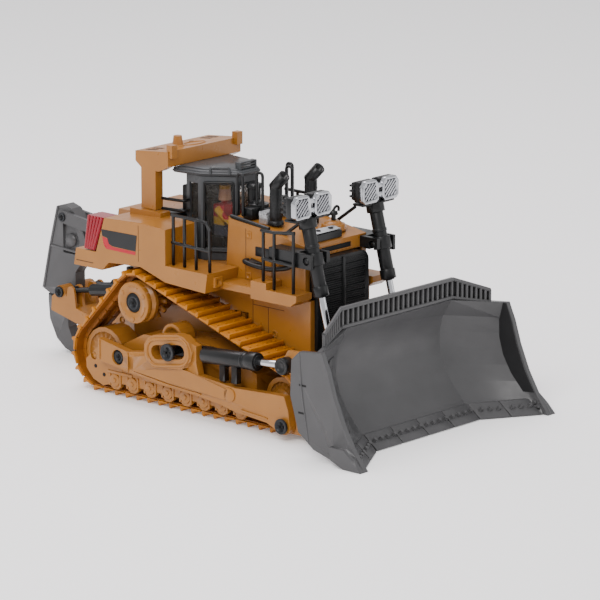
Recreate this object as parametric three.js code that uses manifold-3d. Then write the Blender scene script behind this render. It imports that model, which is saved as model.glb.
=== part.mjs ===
// Toy track-type bulldozer, about 1:24, as an assembly of separate named parts.
//
// Units are millimetres, +Z is up. Inside the model group, X is across (the machine's left is
// +X), Y is the station measured rearwards from the blade's corner tips, and Z is the height
// above the ground. The group is then moved forwards by half the length, so that the origin
// lies on the ground beneath the middle of the machine and the blade faces -Y.

import * as THREE from 'three';
import { mergeVertices } from 'three/addons/utils/BufferGeometryUtils.js';
import Module from 'manifold-3d';

// ---------------------------------------------------------------- driving dimensions

const LENGTH = 357;            // blade tips to the ripper's rear edge
const BLADE_HALF = 92.5;       // half the blade's width over its end bits
const BELT_INNER = 30;         // inner face of each track belt
const BELT_OUTER = 60;         // outer face of each track belt
const BELT_DEPTH = 6.5;        // belt thickness, link to grouser tip
const GROUSER = 2;             // grouser height
const SHOE_COUNT = 48;         // shoes on each belt
const GAP = 0.3;               // clearance between neighbouring parts
const WALL = 2;                // moulded wall thickness
const HULL_HALF = 27.5;        // half-width of the chassis hull
const BODY_HALF = 28.3;        // half-width of the upper body
const HULL_TOP = 77.7;         // top of the chassis hull
const FENDER_OUTER = 57;       // outer face of the fenders and tanks
const DECK_TOP = 90.4;         // walking deck on the fenders

// Wheels inside each belt: centre station, centre height and the radius over the grousers.
const FRONT_IDLER = { y: 98, z: 21, radius: 21 };
const SPROCKET = { y: 219, z: 63, radius: 21 };
const REAR_IDLER = { y: 251, z: 24, radius: 24 };

// Pivots, as [station, height].
const ARM_PIVOT = [224.3, 28.4];
const BLADE_PIVOT = [83, 9.5];
const STRUT_PIVOT = [83.5, 47];
const SLOT_BOLT = [177.1, 40.3];
const LIFT_EYE = [75, 44];
const LIFT_TRUNNION = [91.2, 106];
const LIFT_HALF = 31.5;        // distance of each lift cylinder from the middle
const RIPPER_PIVOT = [269, 36];
const RIPPER_LINK = [62, 8];   // from the chassis pins to the carriage pins, lower and upper
const LINK_PIVOT = [273, 84.5];
const RIPPER_BARREL_PIVOT = [266, 55];
const RIPPER_ROD_PIVOT = [321, 46];

// ---------------------------------------------------------------- materials

function plastic(color, roughness, metalness = 0) {
  return new THREE.MeshStandardMaterial({ color, roughness, metalness });
}

const OCHRE = () => plastic('#b9823f', 0.42);
const TRACK_ORANGE = () => plastic('#c98a1e', 0.5);
const BLADE_GREY = () => plastic('#6f7073', 0.4);
const BLACK = () => plastic('#33373a', 0.45);
const CAB_GREY = () => plastic('#5c5f63', 0.45);
const CHROME = () => plastic('#d9dadc', 0.12, 1);
const RED = () => plastic('#b41e32', 0.3);
const CLEAR = () => plastic('#dfe6ea', 0.08);

// ---------------------------------------------------------------- solids

const wasm = await Module();
wasm.setup();

function trianglesOf(geometry) {
  const bare = geometry.clone();
  bare.deleteAttribute('normal');
  bare.deleteAttribute('uv');
  const merged = mergeVertices(bare, 1e-4);
  const points = merged.attributes.position.array;
  const faces = [];
  for (let i = 0; i < merged.index.count; i += 3) {
    const [a, b, c] = merged.index.array.slice(i, i + 3);
    if (a !== b && b !== c && a !== c) faces.push([a, b, c]);
  }
  return { points, faces };
}

function signedVolume(points, faces) {
  const corner = (i) => new THREE.Vector3().fromArray(points, 3 * i);
  let volume = 0;
  for (const [a, b, c] of faces) volume += corner(a).dot(corner(b).cross(corner(c))) / 6;
  return volume;
}

// A closed three.js geometry as a solid whose faces point outwards.
function solid(geometry) {
  const { points, faces } = trianglesOf(geometry);
  const outward = signedVolume(points, faces) > 0;
  const ordered = faces.map(([a, b, c]) => (outward ? [a, b, c] : [a, c, b]));
  const mesh = new wasm.Mesh({
    numProp: 3,
    vertProperties: new Float32Array(points),
    triVerts: new Uint32Array(ordered.flat()),
  });
  return new wasm.Manifold(mesh);
}

function join(first, ...others) {
  return others.reduce((whole, next) => whole.add(next), first);
}

function cut(first, ...others) {
  return others.reduce((rest, next) => rest.subtract(next), first);
}

function geometryOf(body) {
  const mesh = body.getMesh();
  const geometry = new THREE.BufferGeometry();
  geometry.setAttribute('position', new THREE.BufferAttribute(new Float32Array(mesh.vertProperties), 3));
  geometry.setIndex(new THREE.BufferAttribute(new Uint32Array(mesh.triVerts), 1));
  geometry.computeVertexNormals();
  return geometry;
}

function block([x0, x1], [y0, y1], [z0, z1]) {
  const geometry = new THREE.BoxGeometry(x1 - x0, y1 - y0, z1 - z0);
  geometry.translate((x0 + x1) / 2, (y0 + y1) / 2, (z0 + z1) / 2);
  return solid(geometry);
}

function shapeOf(outline) {
  return new THREE.Shape(outline.map(([u, v]) => new THREE.Vector2(u, v)));
}

function extruded(outline, depth) {
  return new THREE.ExtrudeGeometry(shapeOf(outline), { depth, bevelEnabled: false });
}

// A plate with its [station, height] outline in the side view, from x0 to x1.
function sidePlate(outline, [x0, x1]) {
  const geometry = extruded(outline, x1 - x0);
  const turn = new THREE.Matrix4().makeBasis(
    new THREE.Vector3(0, 1, 0),
    new THREE.Vector3(0, 0, 1),
    new THREE.Vector3(1, 0, 0),
  );
  geometry.applyMatrix4(turn);
  geometry.translate(x0, 0, 0);
  return solid(geometry);
}

// A plate with its [across, station] outline in the top view, from z0 to z1.
function topPlate(outline, [z0, z1]) {
  const geometry = extruded(outline, z1 - z0);
  geometry.translate(0, 0, z0);
  return solid(geometry);
}

// A plate with its [across, height] outline in the front view, from y0 to y1.
function frontPlate(outline, [y0, y1]) {
  const geometry = extruded(outline, y1 - y0);
  geometry.rotateX(Math.PI / 2);
  geometry.translate(0, y1, 0);
  return solid(geometry);
}

// A round bar between two points [x, y, z], or a cone where the radii differ.
function bar(from, to, radius, sides = 12, endRadius = radius) {
  const start = new THREE.Vector3(...from);
  const end = new THREE.Vector3(...to);
  const axis = end.clone().sub(start);
  const geometry = new THREE.CylinderGeometry(endRadius, radius, axis.length(), sides);
  const turn = new THREE.Quaternion().setFromUnitVectors(
    new THREE.Vector3(0, 1, 0),
    axis.clone().normalize(),
  );
  geometry.applyQuaternion(turn);
  const middle = start.add(end).multiplyScalar(0.5);
  geometry.translate(middle.x, middle.y, middle.z);
  return solid(geometry);
}

function pinX([y, z], [x0, x1], radius, sides = 12) {
  return bar([x0, y, z], [x1, y, z], radius, sides);
}

// A turned piece about an axis along X: the profile is a list of [x, radius].
function turned(profile, { y, z }, sides) {
  const points = profile.map(([x, radius]) => new THREE.Vector2(radius, x));
  const geometry = new THREE.LatheGeometry(points, sides);
  geometry.rotateZ(-Math.PI / 2);
  geometry.translate(0, y, z);
  return solid(geometry);
}

// A bent rail: straight bars through the points, with a small overlap at each bend.
function rail(points, radius, sides = 6) {
  const bars = [];
  for (let i = 0; i + 1 < points.length; i += 1) {
    const a = new THREE.Vector3(...points[i]);
    const b = new THREE.Vector3(...points[i + 1]);
    const run = b.clone().sub(a).normalize().multiplyScalar(radius * 0.8);
    bars.push(bar(a.sub(run).toArray(), b.add(run).toArray(), radius, sides));
  }
  return join(...bars);
}

// A solid skin through closed rings of equal length, closed by a flat cap at each end.
function loft(sections) {
  const flatten = (ring) => ring.map(([, y, z]) => new THREE.Vector2(y, z));
  const clockwise = THREE.ShapeUtils.isClockWise(flatten(sections[0]));
  const rings = sections.map((ring) => (clockwise ? [...ring].reverse() : ring));
  const count = rings[0].length;
  const positions = rings.flat(2);
  const index = [];
  for (let r = 0; r + 1 < rings.length; r += 1) {
    for (let i = 0; i < count; i += 1) {
      const a = r * count + i;
      const b = r * count + ((i + 1) % count);
      index.push(a, b, b + count, a, b + count, a + count);
    }
  }
  const last = (rings.length - 1) * count;
  for (const [a, b, c] of THREE.ShapeUtils.triangulateShape(flatten(rings[0]), [])) {
    index.push(c, b, a, last + a, last + b, last + c);
  }
  const geometry = new THREE.BufferGeometry();
  geometry.setAttribute('position', new THREE.Float32BufferAttribute(positions, 3));
  geometry.setIndex(index);
  return solid(geometry);
}

function arcPoints([cy, cz], radius, fromDegrees, toDegrees, steps) {
  const points = [];
  for (let i = 0; i <= steps; i += 1) {
    const angle = THREE.MathUtils.degToRad(fromDegrees + ((toDegrees - fromDegrees) * i) / steps);
    points.push([cy + radius * Math.cos(angle), cz + radius * Math.sin(angle)]);
  }
  return points;
}

// A slot outline with round ends between two centres in a plane.
function slotOutline([y0, z0], [y1, z1], radius, steps = 5) {
  const heading = THREE.MathUtils.radToDeg(Math.atan2(z1 - z0, y1 - y0));
  return [
    ...arcPoints([y1, z1], radius, heading - 90, heading + 90, steps),
    ...arcPoints([y0, z0], radius, heading + 90, heading + 270, steps),
  ];
}

function mirrored(geometry) {
  const copy = geometry.clone();
  copy.scale(-1, 1, 1);
  const { array } = copy.index;
  for (let i = 0; i < array.length; i += 3) [array[i], array[i + 1]] = [array[i + 1], array[i]];
  return copy;
}

// ---------------------------------------------------------------- the model group

const model = new THREE.Group();
model.position.y = -LENGTH / 2;

function add(name, body, material) {
  const mesh = new THREE.Mesh(geometryOf(body), material);
  mesh.name = name;
  model.add(mesh);
}

// The left part is made at +X and the right one is its mirror image.
function addPair(name, body, makeMaterial) {
  const left = geometryOf(body);
  const pair = { left, right: mirrored(left) };
  for (const [side, geometry] of Object.entries(pair)) {
    const mesh = new THREE.Mesh(geometry, makeMaterial());
    mesh.name = `${name}_${side}`;
    model.add(mesh);
  }
}

// ---------------------------------------------------------------- tracks

// The closed path round the three wheels, inset from the grouser tips.
function beltPath(inset) {
  const wheels = [REAR_IDLER, SPROCKET, FRONT_IDLER];
  const path = new THREE.CurvePath();
  const tangents = wheels.map((wheel, i) => {
    const next = wheels[(i + 1) % wheels.length];
    const dy = next.y - wheel.y;
    const dz = next.z - wheel.z;
    const reach = Math.hypot(dy, dz);
    return Math.atan2(dz, dy) - Math.acos((wheel.radius - next.radius) / reach);
  });
  wheels.forEach((wheel, i) => {
    const next = wheels[(i + 1) % wheels.length];
    const arrive = tangents[(i + wheels.length - 1) % wheels.length];
    const leave = tangents[i];
    const sweep = THREE.MathUtils.euclideanModulo(leave - arrive, 2 * Math.PI);
    const radius = wheel.radius - inset;
    path.add(new THREE.EllipseCurve(wheel.y, wheel.z, radius, radius, arrive, arrive + sweep));
    const at = (w) => new THREE.Vector2(
      w.y + (w.radius - inset) * Math.cos(leave),
      w.z + (w.radius - inset) * Math.sin(leave),
    );
    path.add(new THREE.LineCurve(at(wheel), at(next)));
  });
  return path;
}

// The shoe plates make a polygon, and each one carries a grouser near its leading edge.
function beltOutline() {
  const path = beltPath(GROUSER);
  const corners = Array.from({ length: SHOE_COUNT }, (_, i) => path.getPoint(i / SHOE_COUNT));
  return corners.flatMap((corner, i) => {
    const next = corners[(i + 1) % SHOE_COUNT];
    const along = next.clone().sub(corner).normalize();
    const out = new THREE.Vector2(along.y, -along.x).multiplyScalar(GROUSER);
    const foot = corner.clone().addScaledVector(along, 0.8);
    const heel = corner.clone().addScaledVector(along, 2.6);
    const rise = [foot.clone(), foot.add(out), heel.clone().add(out), heel];
    return [corner, ...rise].map((point) => point.toArray());
  });
}

function trackBelt() {
  const shoes = sidePlate(beltOutline(), [BELT_INNER, BELT_OUTER]);
  const inner = beltPath(BELT_DEPTH).getSpacedPoints(SHOE_COUNT).slice(0, -1);
  return cut(shoes, sidePlate(inner.map((point) => point.toArray()), [BELT_INNER - 1, BELT_OUTER + 1]));
}

// The largest wheel that clears the flat links of a belt bent round it.
function wheelRadius(wheel) {
  const seat = wheel.radius - BELT_DEPTH;
  const pitch = beltPath(BELT_DEPTH).getLength() / SHOE_COUNT;
  return seat - (pitch * pitch) / (8 * seat) - GAP;
}

// A spoked-rim idler on a stub axle that turns in the track frame's side plates.
function idler(wheel) {
  const rim = wheelRadius(wheel);
  const profile = [
    [31.6, 0], [31.6, 2.4], [36, 2.4], [36, 6], [38, 6], [38, rim - 3], [37, rim - 3], [37, rim],
    [53, rim], [53, rim - 3], [52, rim - 3], [52, 6], [54, 6], [54, 2.4], [62.6, 2.4], [62.6, 0],
  ];
  return turned(profile, wheel, 18);
}

// The drive sprocket: axle, toothed wheel and the stepped final-drive hub outside it.
function sprocket() {
  const rim = wheelRadius(SPROCKET);
  const profile = [
    [21, 0], [21, 2.5], [33, 2.5], [33, 9], [50.5, 9], [50.5, rim], [53, rim],
    [53, 13.4], [59.6, 13.4], [59.6, 6.8], [57.4, 6.8], [57.4, 0],
  ];
  const teeth = 12;
  const pegs = Array.from({ length: teeth }, (_, i) => {
    const angle = (2 * Math.PI * i) / teeth;
    const centre = [SPROCKET.y + 8.6 * Math.cos(angle), SPROCKET.z + 8.6 * Math.sin(angle)];
    const tip = [SPROCKET.y + (rim - 0.3) * Math.cos(angle), SPROCKET.z + (rim - 0.3) * Math.sin(angle)];
    return bar([43, ...centre], [43, ...tip], 1.6, 6);
  });
  return join(turned(profile, SPROCKET, 20), ...pegs);
}

// ---------------------------------------------------------------- track frames

const FRAME_INNER = 31;
const GUARD = [BELT_OUTER + 0.5, 63.3];

function rollerBlocks() {
  const pitch = 15.4;
  return Array.from({ length: 8 }, (_, i) => {
    const y = 232 - pitch * i;
    const outline = [[y + 5.6, 17], [y - 5.6, 17], ...arcPoints([y, 10.4], 5.6, 180, 360, 5)];
    return sidePlate(outline, GUARD);
  });
}

function trackFrame() {
  const beam = sidePlate([[116, 9.5], [230, 9.5], [230, 34], [213, 43], [160, 46], [116, 34]], [FRAME_INNER, 57]);
  const guardOutline = [
    [258, 21], [257.6, 15], [251.5, 8.7], [243, 5.8], [231, 9.5], [112, 9.5], [97, 9], [93.8, 16],
    [93.8, 26], [118, 24], [160, 26], [213, 31], [247, 31],
  ];
  const guard = sidePlate(guardOutline, GUARD);
  const innerArms = sidePlate([[90, 15], [257, 15], [257, 31], [90, 27]], [FRAME_INNER, 33.5]);
  const bridge = sidePlate([[118, 10], [228, 10], [228, 28], [118, 22]], [56, GUARD[0] + 0.5]);
  const carrierBoss = cut(
    pinX([185, 46.5], [48, BELT_OUTER + 0.2], 8.6, 16),
    pinX([185, 46.5], [52, BELT_OUTER + 1], 6, 16),
  );
  const lugs = [140, 205].map((y) => pinX([y, 30], [HULL_HALF + GAP, FRAME_INNER + 1], 6, 12));
  const armStub = pinX(ARM_PIVOT, [GUARD[1] - 1, 67.6], 2.8, 12);
  const whole = join(beam, guard, innerArms, bridge, carrierBoss, ...lugs, ...rollerBlocks(), armStub);
  const axleHoles = [FRONT_IDLER, REAR_IDLER].map(({ y, z }) => pinX([y, z], [30, 64], 2.7, 12));
  return cut(whole, ...axleHoles);
}

// ---------------------------------------------------------------- chassis hull and what it holds

const BAY = { y0: 120, y1: 190 };

function chassisHull() {
  const outline = [[98, 40], [112, 24], [250, 24], [250, HULL_TOP], [98, HULL_TOP]];
  const inside = [[100, 41], [112.8, 23], [248, 23], [248, HULL_TOP - WALL], [100, HULL_TOP - WALL]];
  const shell = cut(
    sidePlate(outline, [-HULL_HALF, HULL_HALF]),
    sidePlate(inside, [-HULL_HALF + WALL, HULL_HALF - WALL]),
  );
  const axleHole = pinX([SPROCKET.y, SPROCKET.z], [-HULL_HALF - 1, HULL_HALF + 1], 3, 16);
  const switchSlot = block([-HULL_HALF - 1, -HULL_HALF + 3], [150, 162], [58, 62]);
  const lug = [
    [249, 26], [262, 27], ...arcPoints(RIPPER_PIVOT, 6.5, -80, 50, 5),
    ...arcPoints(RIPPER_BARREL_PIVOT, 5, -20, 100, 5), [249, 64],
  ];
  const lugs = [14.6, -19].map((x) => sidePlate(lug, [x, x + 4.4]));
  const lowerHoles = pinX(RIPPER_PIVOT, [-20, 20], 2.4, 12);
  const barrelHoles = pinX(RIPPER_BARREL_PIVOT, [-20, 20], 1.9, 12);
  return cut(join(shell, ...lugs), axleHole, switchSlot, lowerHoles, barrelHoles);
}

function bottomCover() {
  const plate = block([-HULL_HALF, HULL_HALF], [114, 250], [21.7, 23.7]);
  const hatchGroove = block([-17, 17], [BAY.y0, BAY.y1], [20.7, 22.2]);
  const lip = block([-HULL_HALF + WALL + GAP, HULL_HALF - WALL - GAP], [116, 247.6], [23.2, 25.7]);
  const lipInside = block([-22, 22], [119, 244], [23.7, 26.7]);
  return cut(join(plate, lip), hatchGroove, lipInside);
}

function batteryPack() {
  return block([-16, 16], [BAY.y0 + 2, BAY.y1 - 2], [24.2, 42]);
}

function circuitBoard() {
  return block([-20, 20], [118, 188], [52, 53.6]);
}

function driveGearbox() {
  const box = block([-19, 19], [200, 240], [46, 74]);
  const hole = pinX([SPROCKET.y, SPROCKET.z], [-20, 20], 3.2, 12);
  const motor = pinX([212, 36], [-17, 17], 8, 14);
  const web = block([-12, 12], [205, 219], [40, 48]);
  return cut(join(box, motor, web), hole);
}

function powerSwitch() {
  return join(
    block([-HULL_HALF - 1.6, -HULL_HALF + 3.6], [151.5, 155.5], [58.4, 61.6]),
    block([-HULL_HALF + WALL + GAP, -HULL_HALF + 5], [149, 158], [57, 63]),
  );
}

// ---------------------------------------------------------------- upper body

function upperBody() {
  const outline = [
    [101.5, 78], [101.5, 111.4], [137, 117.8], [166, 120.5], [168, 88], [217, 88], [219, 112.5],
    [262, 112.5], [266, DECK_TOP], [264, 78],
  ];
  const engineBay = [[103.5, 77], [103.5, 109.8], [137, 115.8], [164, 118.4], [166, 86], [166, 77]];
  const rearBay = [[165, 77], [165, 86], [219, 86], [221, 110.5], [260, 110.5], [263.5, 90], [262, 77]];
  const inside = [-BODY_HALF + WALL, BODY_HALF - WALL];
  const grilleHole = block([-24.4, 24.4], [100, 104], [76, 103.4]);
  const slot = block([-13.5, 13.5], [100, 102.6], [105.2, 108.4]);
  return cut(
    sidePlate(outline, [-BODY_HALF, BODY_HALF]),
    sidePlate(engineBay, inside),
    sidePlate(rearBay, inside),
    grilleHole,
    slot,
  );
}

function radiatorGrille() {
  const corner = 7;
  const top = 103;
  const outline = [
    [-24, 46], [24, 46],
    ...arcPoints([24 - corner, top - corner], corner, 0, 90, 4),
    ...arcPoints([-24 + corner, top - corner], corner, 90, 180, 4),
  ];
  const core = frontPlate(outline, [95.4, 97.7]);
  const hood = frontPlate(outline.map(([x, z]) => [x, Math.max(z, HULL_TOP + GAP)]), [97.4, 103.2]);
  const pitch = 4.6;
  const grooves = Array.from({ length: 11 }, (_, i) => {
    const z = 50 + pitch * i;
    return block([-20, 20], [95, 96.2], [z, z + 1.6]);
  });
  return cut(join(core, hood), ...grooves);
}

function hoodVentBox() {
  const box = sidePlate([[103.4, 112.2], [103.4, 116.4], [110.4, 117.4], [110.4, 113.4]], [-16, 7.5]);
  const ports = [-10.5, 1].map((x) => bar([x, 107, 114.6], [x, 107, 119], 1.5, 10));
  return cut(box, ...ports);
}

function exhaust() {
  const x = 16.2;
  const stack = bar([x, 137, 118.3], [x, 137, 143.5], 3.8, 12);
  const tip = bar([x, 138.6, 141.8], [x, 129.8, 150.6], 3.8, 12);
  const mouth = bar([x, 132.3, 148.1], [x, 127.3, 153.1], 2.7, 10);
  return cut(join(stack, tip), mouth);
}

function preCleaner() {
  const [x, y] = [-9.5, 158];
  return join(
    bar([x, y, 120.6], [x, y, 125.5], 5.2, 14),
    bar([x, y, 124.6], [x, y, 128], 6.8, 14),
    bar([x, y, 127], [x, y, 129.4], 4, 14),
  );
}

// ---------------------------------------------------------------- fenders, tanks and platforms

function fenderTank() {
  const x = [BODY_HALF + GAP, FENDER_OUTER];
  const deck = sidePlate([
    [272.2, 90], [274.2, 79], [249, 79], [243, 84.7], [233, 85.4], [215, 86.2], [193.7, 79.6],
    [159.4, 78], [157.6, DECK_TOP], [193.6, DECK_TOP],
  ], x);
  const tank = sidePlate([[193.5, DECK_TOP - 1], [193.5, 113.4], [215, 114.6], [246.8, 113.2], [254.6, DECK_TOP - 1]], x);
  const tankHollow = sidePlate([[196, 88], [196, 111.4], [244, 111.4], [250, 88]], [x[0] - 1, x[1] - WALL]);
  const plinth = block([x[0], 37.5], [216, 243], [112, 117.4]);
  const frontStep = sidePlate([[96, 80], [96, 84], [121, 84], [121, 88], [134, 88], [134, 76.5], [101, 76.5]], [x[0], 43]);
  const sill = block([x[0], 43], [133, 160], [79, 83.5]);
  return cut(join(deck, tank, plinth, frontStep, sill), tankHollow);
}

function tailLamp() {
  return sidePlate([[247.4 + GAP, 113], [261.5, 113], [264.5, DECK_TOP + 0.3], [255.4 + GAP, DECK_TOP + 0.3]], [44, 56.6]);
}

// ---------------------------------------------------------------- roll-over canopy

function ropsCanopy() {
  const half = 33.6;
  const inner = 27;
  const post = (x0, x1) => block([x0, x1], [224, 236.6], [117.7, 148.6]);
  const outline = [
    [213, 156.6], [213, 146.9], [221, 142.9], [235.4, 142.9], [241.5, 147.4], [241.5, 153.9],
  ];
  const beam = sidePlate(outline, [-half, half]);
  const archway = sidePlate([[212, 138.6], [243, 138.6], [243, 146.1], [212, 146.1]], [-inner, inner]);
  const cornerBlocks = [27.6, -32.6].map((x) => block([x, x + 5], [210.4, 215], [152.4, 160.6]));
  const beacon = bar([-11, 226, 154], [-11, 226, 162.2], 3.9, 14, 2.7);
  const cross = block([-inner - 1, inner + 1], [226, 234], [145.6, 148.6]);
  return join(cut(beam, archway), ...cornerBlocks, beacon, cross, post(inner, half), post(-half, -inner));
}

// ---------------------------------------------------------------- cab

const CAB_PLAN = [[9, 176.5], [22.6, 195], [22, 208], [-22, 208], [-22.6, 195], [-9, 176.5]];

function insetPlan(plan, distance) {
  const centre = [0, 195];
  return plan.map(([x, y]) => {
    const reach = Math.hypot(x - centre[0], y - centre[1]);
    const scale = 1 - distance / reach;
    return [centre[0] + (x - centre[0]) * scale, centre[1] + (y - centre[1]) * scale];
  });
}

// A window cut through the cab wall between two plan corners.
function windowCut(from, to, [z0, z1], margin) {
  const a = new THREE.Vector2(...from);
  const b = new THREE.Vector2(...to);
  const along = b.clone().sub(a).normalize();
  const out = new THREE.Vector2(along.y, -along.x);
  const near = a.clone().addScaledVector(along, margin);
  const far = b.clone().addScaledVector(along, -margin);
  const plan = [
    near.clone().addScaledVector(out, 4), far.clone().addScaledVector(out, 4),
    far.clone().addScaledVector(out, -3.4), near.clone().addScaledVector(out, -3.4),
  ];
  return topPlate(plan.map((point) => point.toArray()), [z0, z1]);
}

function cabShell() {
  const body = topPlate(CAB_PLAN, [88.3, 142]);
  const inside = topPlate(insetPlan(CAB_PLAN, 2.2), [87, 140.5]);
  const corners = CAB_PLAN;
  const windows = corners.map((corner, i) => {
    const next = corners[(i + 1) % corners.length];
    const door = i === 0 || i === 4;
    return windowCut(corner, next, door ? [96, 137] : [112, 137], 2.6);
  });
  return cut(body, inside, ...windows);
}

function cabGlazing() {
  const outer = topPlate(insetPlan(CAB_PLAN, 2.7), [90, 139.8]);
  const inner = topPlate(insetPlan(CAB_PLAN, 3.7), [89, 138.8]);
  return cut(outer, inner);
}

function cabRoof() {
  const plan = [[9, 174], [24, 194.6], [26, 216], [-26, 216], [-24, 194.6], [-9, 174]];
  const eaves = topPlate(plan, [142.3, 144.6]);
  const crown = topPlate(insetPlan(plan, 5), [144.2, 146.9]);
  const lampBar = block([-8, 8], [174.5, 181], [144.4, 151]);
  return join(eaves, crown, lampBar);
}

function driverSeat() {
  return join(
    block([-8, 8], [189, 203], [88.4, 101]),
    block([-8, 8], [200, 204], [100, 124]),
  );
}

function driverFigure() {
  const torso = block([-6.4, 6.4], [190.6, 199.4], [101.4, 121]);
  const thighs = block([-6, 6], [182.5, 192], [101.4, 107]);
  const shins = block([-5.5, 5.5], [181, 186], [89, 106]);
  const neck = bar([0, 195.6, 120], [0, 195.6, 124], 2.2, 8);
  const head = bar([0, 195.6, 123.4], [0, 195.6, 133], 4.2, 10, 3.4);
  const arms = [-7.6, 7.6].map((x) => bar([x * 0.82, 196, 118], [x, 184, 111], 2, 8));
  return join(torso, thighs, shins, neck, head, ...arms);
}

// ---------------------------------------------------------------- handrails

const RAIL = 1.1;

function rearHandrail() {
  const x = 52.5;
  const base = DECK_TOP + GAP;
  const posts = [190.6, 181, 171].map((y) => rail([[x, y, base + 1], [x, y, 122]], RAIL));
  const front = rail([[x, 191, 122.5], [x, 170, 122.5], [x, 162, 121.6], [x, 159.5, 117], [x, 159.5, base + 1]], RAIL);
  const middle = rail([[x, 191, 105], [x, 159.5, 104]], RAIL);
  return join(front, middle, ...posts);
}

function frontHandrail() {
  const x = -41;
  const rear = rail([[x, 125, 88.3 + 1.2], [x, 125, 120.4]], RAIL);
  const mid = rail([[x, 116, 84.3 + 1.2], [x, 116, 120.4]], RAIL);
  const front = rail([[x, 100, 84.3 + 1.2], [x, 100, 122.6], [x, 116, 120.6], [x, 126, 120.6]], RAIL);
  const middle = rail([[x, 125, 103], [x, 100, 102]], RAIL);
  return join(rear, mid, front, middle);
}

// ---------------------------------------------------------------- push arms and blade

const ARM_X = [63.8, 69];
const SLOT_REAR = [188.5, 38.2];
const SLOT_FRONT = [169, 41.5];

function pushArm() {
  const [noseY, noseZ] = BLADE_PIVOT;
  const outline = [
    [241.5, 24], [241.5, 38.2], [216, 33.5], [200, 36], [157, 40], [154, 29], [123, 26.2],
    [93, 27.8], [82.5, 28.2], [79.2, 20], ...arcPoints([noseY, noseZ], 5.8, 150, 270, 5),
    [97, 9], [122, 11], [134, 13.2], [152, 15.4], [182, 16.8], [212, 20],
  ];
  const plate = sidePlate(outline, ARM_X);
  const boss = sidePlate(slotOutline(SLOT_REAR, SLOT_FRONT, 11, 6), [ARM_X[0], 70.8]);
  const gusset = sidePlate([[156, 26], [156, 47], [166, 50], [166, 26]], ARM_X);
  const panelOutline = [[210, 22.4], [209, 31.6], [199, 34], [160, 30], [129, 24.2], [131, 17.4], [168, 18.8]];
  const panel = sidePlate(panelOutline, [68, 70]);
  const slot = sidePlate(slotOutline(SLOT_REAR, SLOT_FRONT, 4.6, 6), [62, 72]);
  const pivotHole = pinX(ARM_PIVOT, [62, 72], 3.3, 14);
  const counterbore = pinX(ARM_PIVOT, [67, 72], 5, 14);
  const noseHole = pinX(BLADE_PIVOT, [62, 72], 2.5, 12);
  return cut(join(plate, boss, gusset, panel), slot, pivotHole, counterbore, noseHole);
}

// The moldboard's front face in one section, from the cutting edge up to the top fold.
function faceCurve(x, edge, deep, top) {
  const curve = new THREE.QuadraticBezierCurve(
    new THREE.Vector2(edge, 0),
    new THREE.Vector2(...deep),
    new THREE.Vector2(...top),
  );
  return curve.getPoints(7).map((point) => [x, point.x, point.y]);
}

function moldboardSection(face) {
  const thickness = 3.2;
  const back = face.map(([x, y, z]) => [x, y + thickness - (z < 1 ? 1.4 : 0), z]);
  return [...face, ...back.reverse()];
}

// The free space in front of the face, which nothing behind the moldboard reaches.
function spaceSection(face) {
  const [x] = face[0];
  return [...face, [x, -40, face.at(-1)[2]], [x, -40, 0]];
}

const PAD = { x0: 56, x1: 66, y: 68 };

function blade() {
  const plateInner = 85.3;
  const plateOuter = 88.6;
  const wing = (side) => faceCurve(side * (plateInner + 0.5), 3.6, [51, 30], [37, 66.8]);
  const fold = (side) => faceCurve(side * 48.6, 26, [76, 36], [49, 72.8]);
  const faces = [wing(-1), fold(-1), fold(1), wing(1)];
  const endPlate = (x0) => sidePlate(
    [
      [0, 0], [17.7, 0], [41, 6.5], [53.1, 15.4], [59.6, 37.3], [58.7, 59.2], [52.3, 65.2],
      [34.6, 67.2], [29.5, 56], [25, 42], [18, 26], [9, 11],
    ],
    [x0, x0 + plateOuter - plateInner],
  );
  const endBit = (x0) => sidePlate([[0, 0], [14, 0], [24, 4], [25, 12], [14, 12], [6, 6]], [x0, x0 + 5]);
  const pads = [PAD.x0, -PAD.x1].map((x) => sidePlate(
    [[30, 6], [PAD.y, 6], [PAD.y, 56], [40, 56]],
    [x, x + PAD.x1 - PAD.x0],
  ));
  const rib = sidePlate([[50, 12], [66, 14], [68, 36], [66, 62], [50, 68]], [-46, 46]);
  const cheeks = [-1, 1].flatMap((side) => [-4.6, 2.6].map((dx) => sidePlate(
    [[58, 36], [80, 38], [81, 50], [58, 50]],
    [side * LIFT_HALF + dx, side * LIFT_HALF + dx + 2],
  )));
  const backing = cut(join(rib, ...pads, ...cheeks), loft(faces.map(spaceSection)), ...pinSlotCutters());
  const shell = loft(faces.map(moldboardSection));
  const ends = [endPlate(plateInner), endPlate(-plateOuter), endBit(BLADE_HALF - 5), endBit(-BLADE_HALF)];
  return join(shell, backing, ...ends);
}

function pinSlotCutters() {
  return [-1, 1].map((side) => sidePlate(
    slotOutline([LIFT_EYE[0] - 3, LIFT_EYE[1]], [LIFT_EYE[0] + 3, LIFT_EYE[1]], 3.1, 5),
    [side * LIFT_HALF - 6, side * LIFT_HALF + 6],
  ));
}

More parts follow.
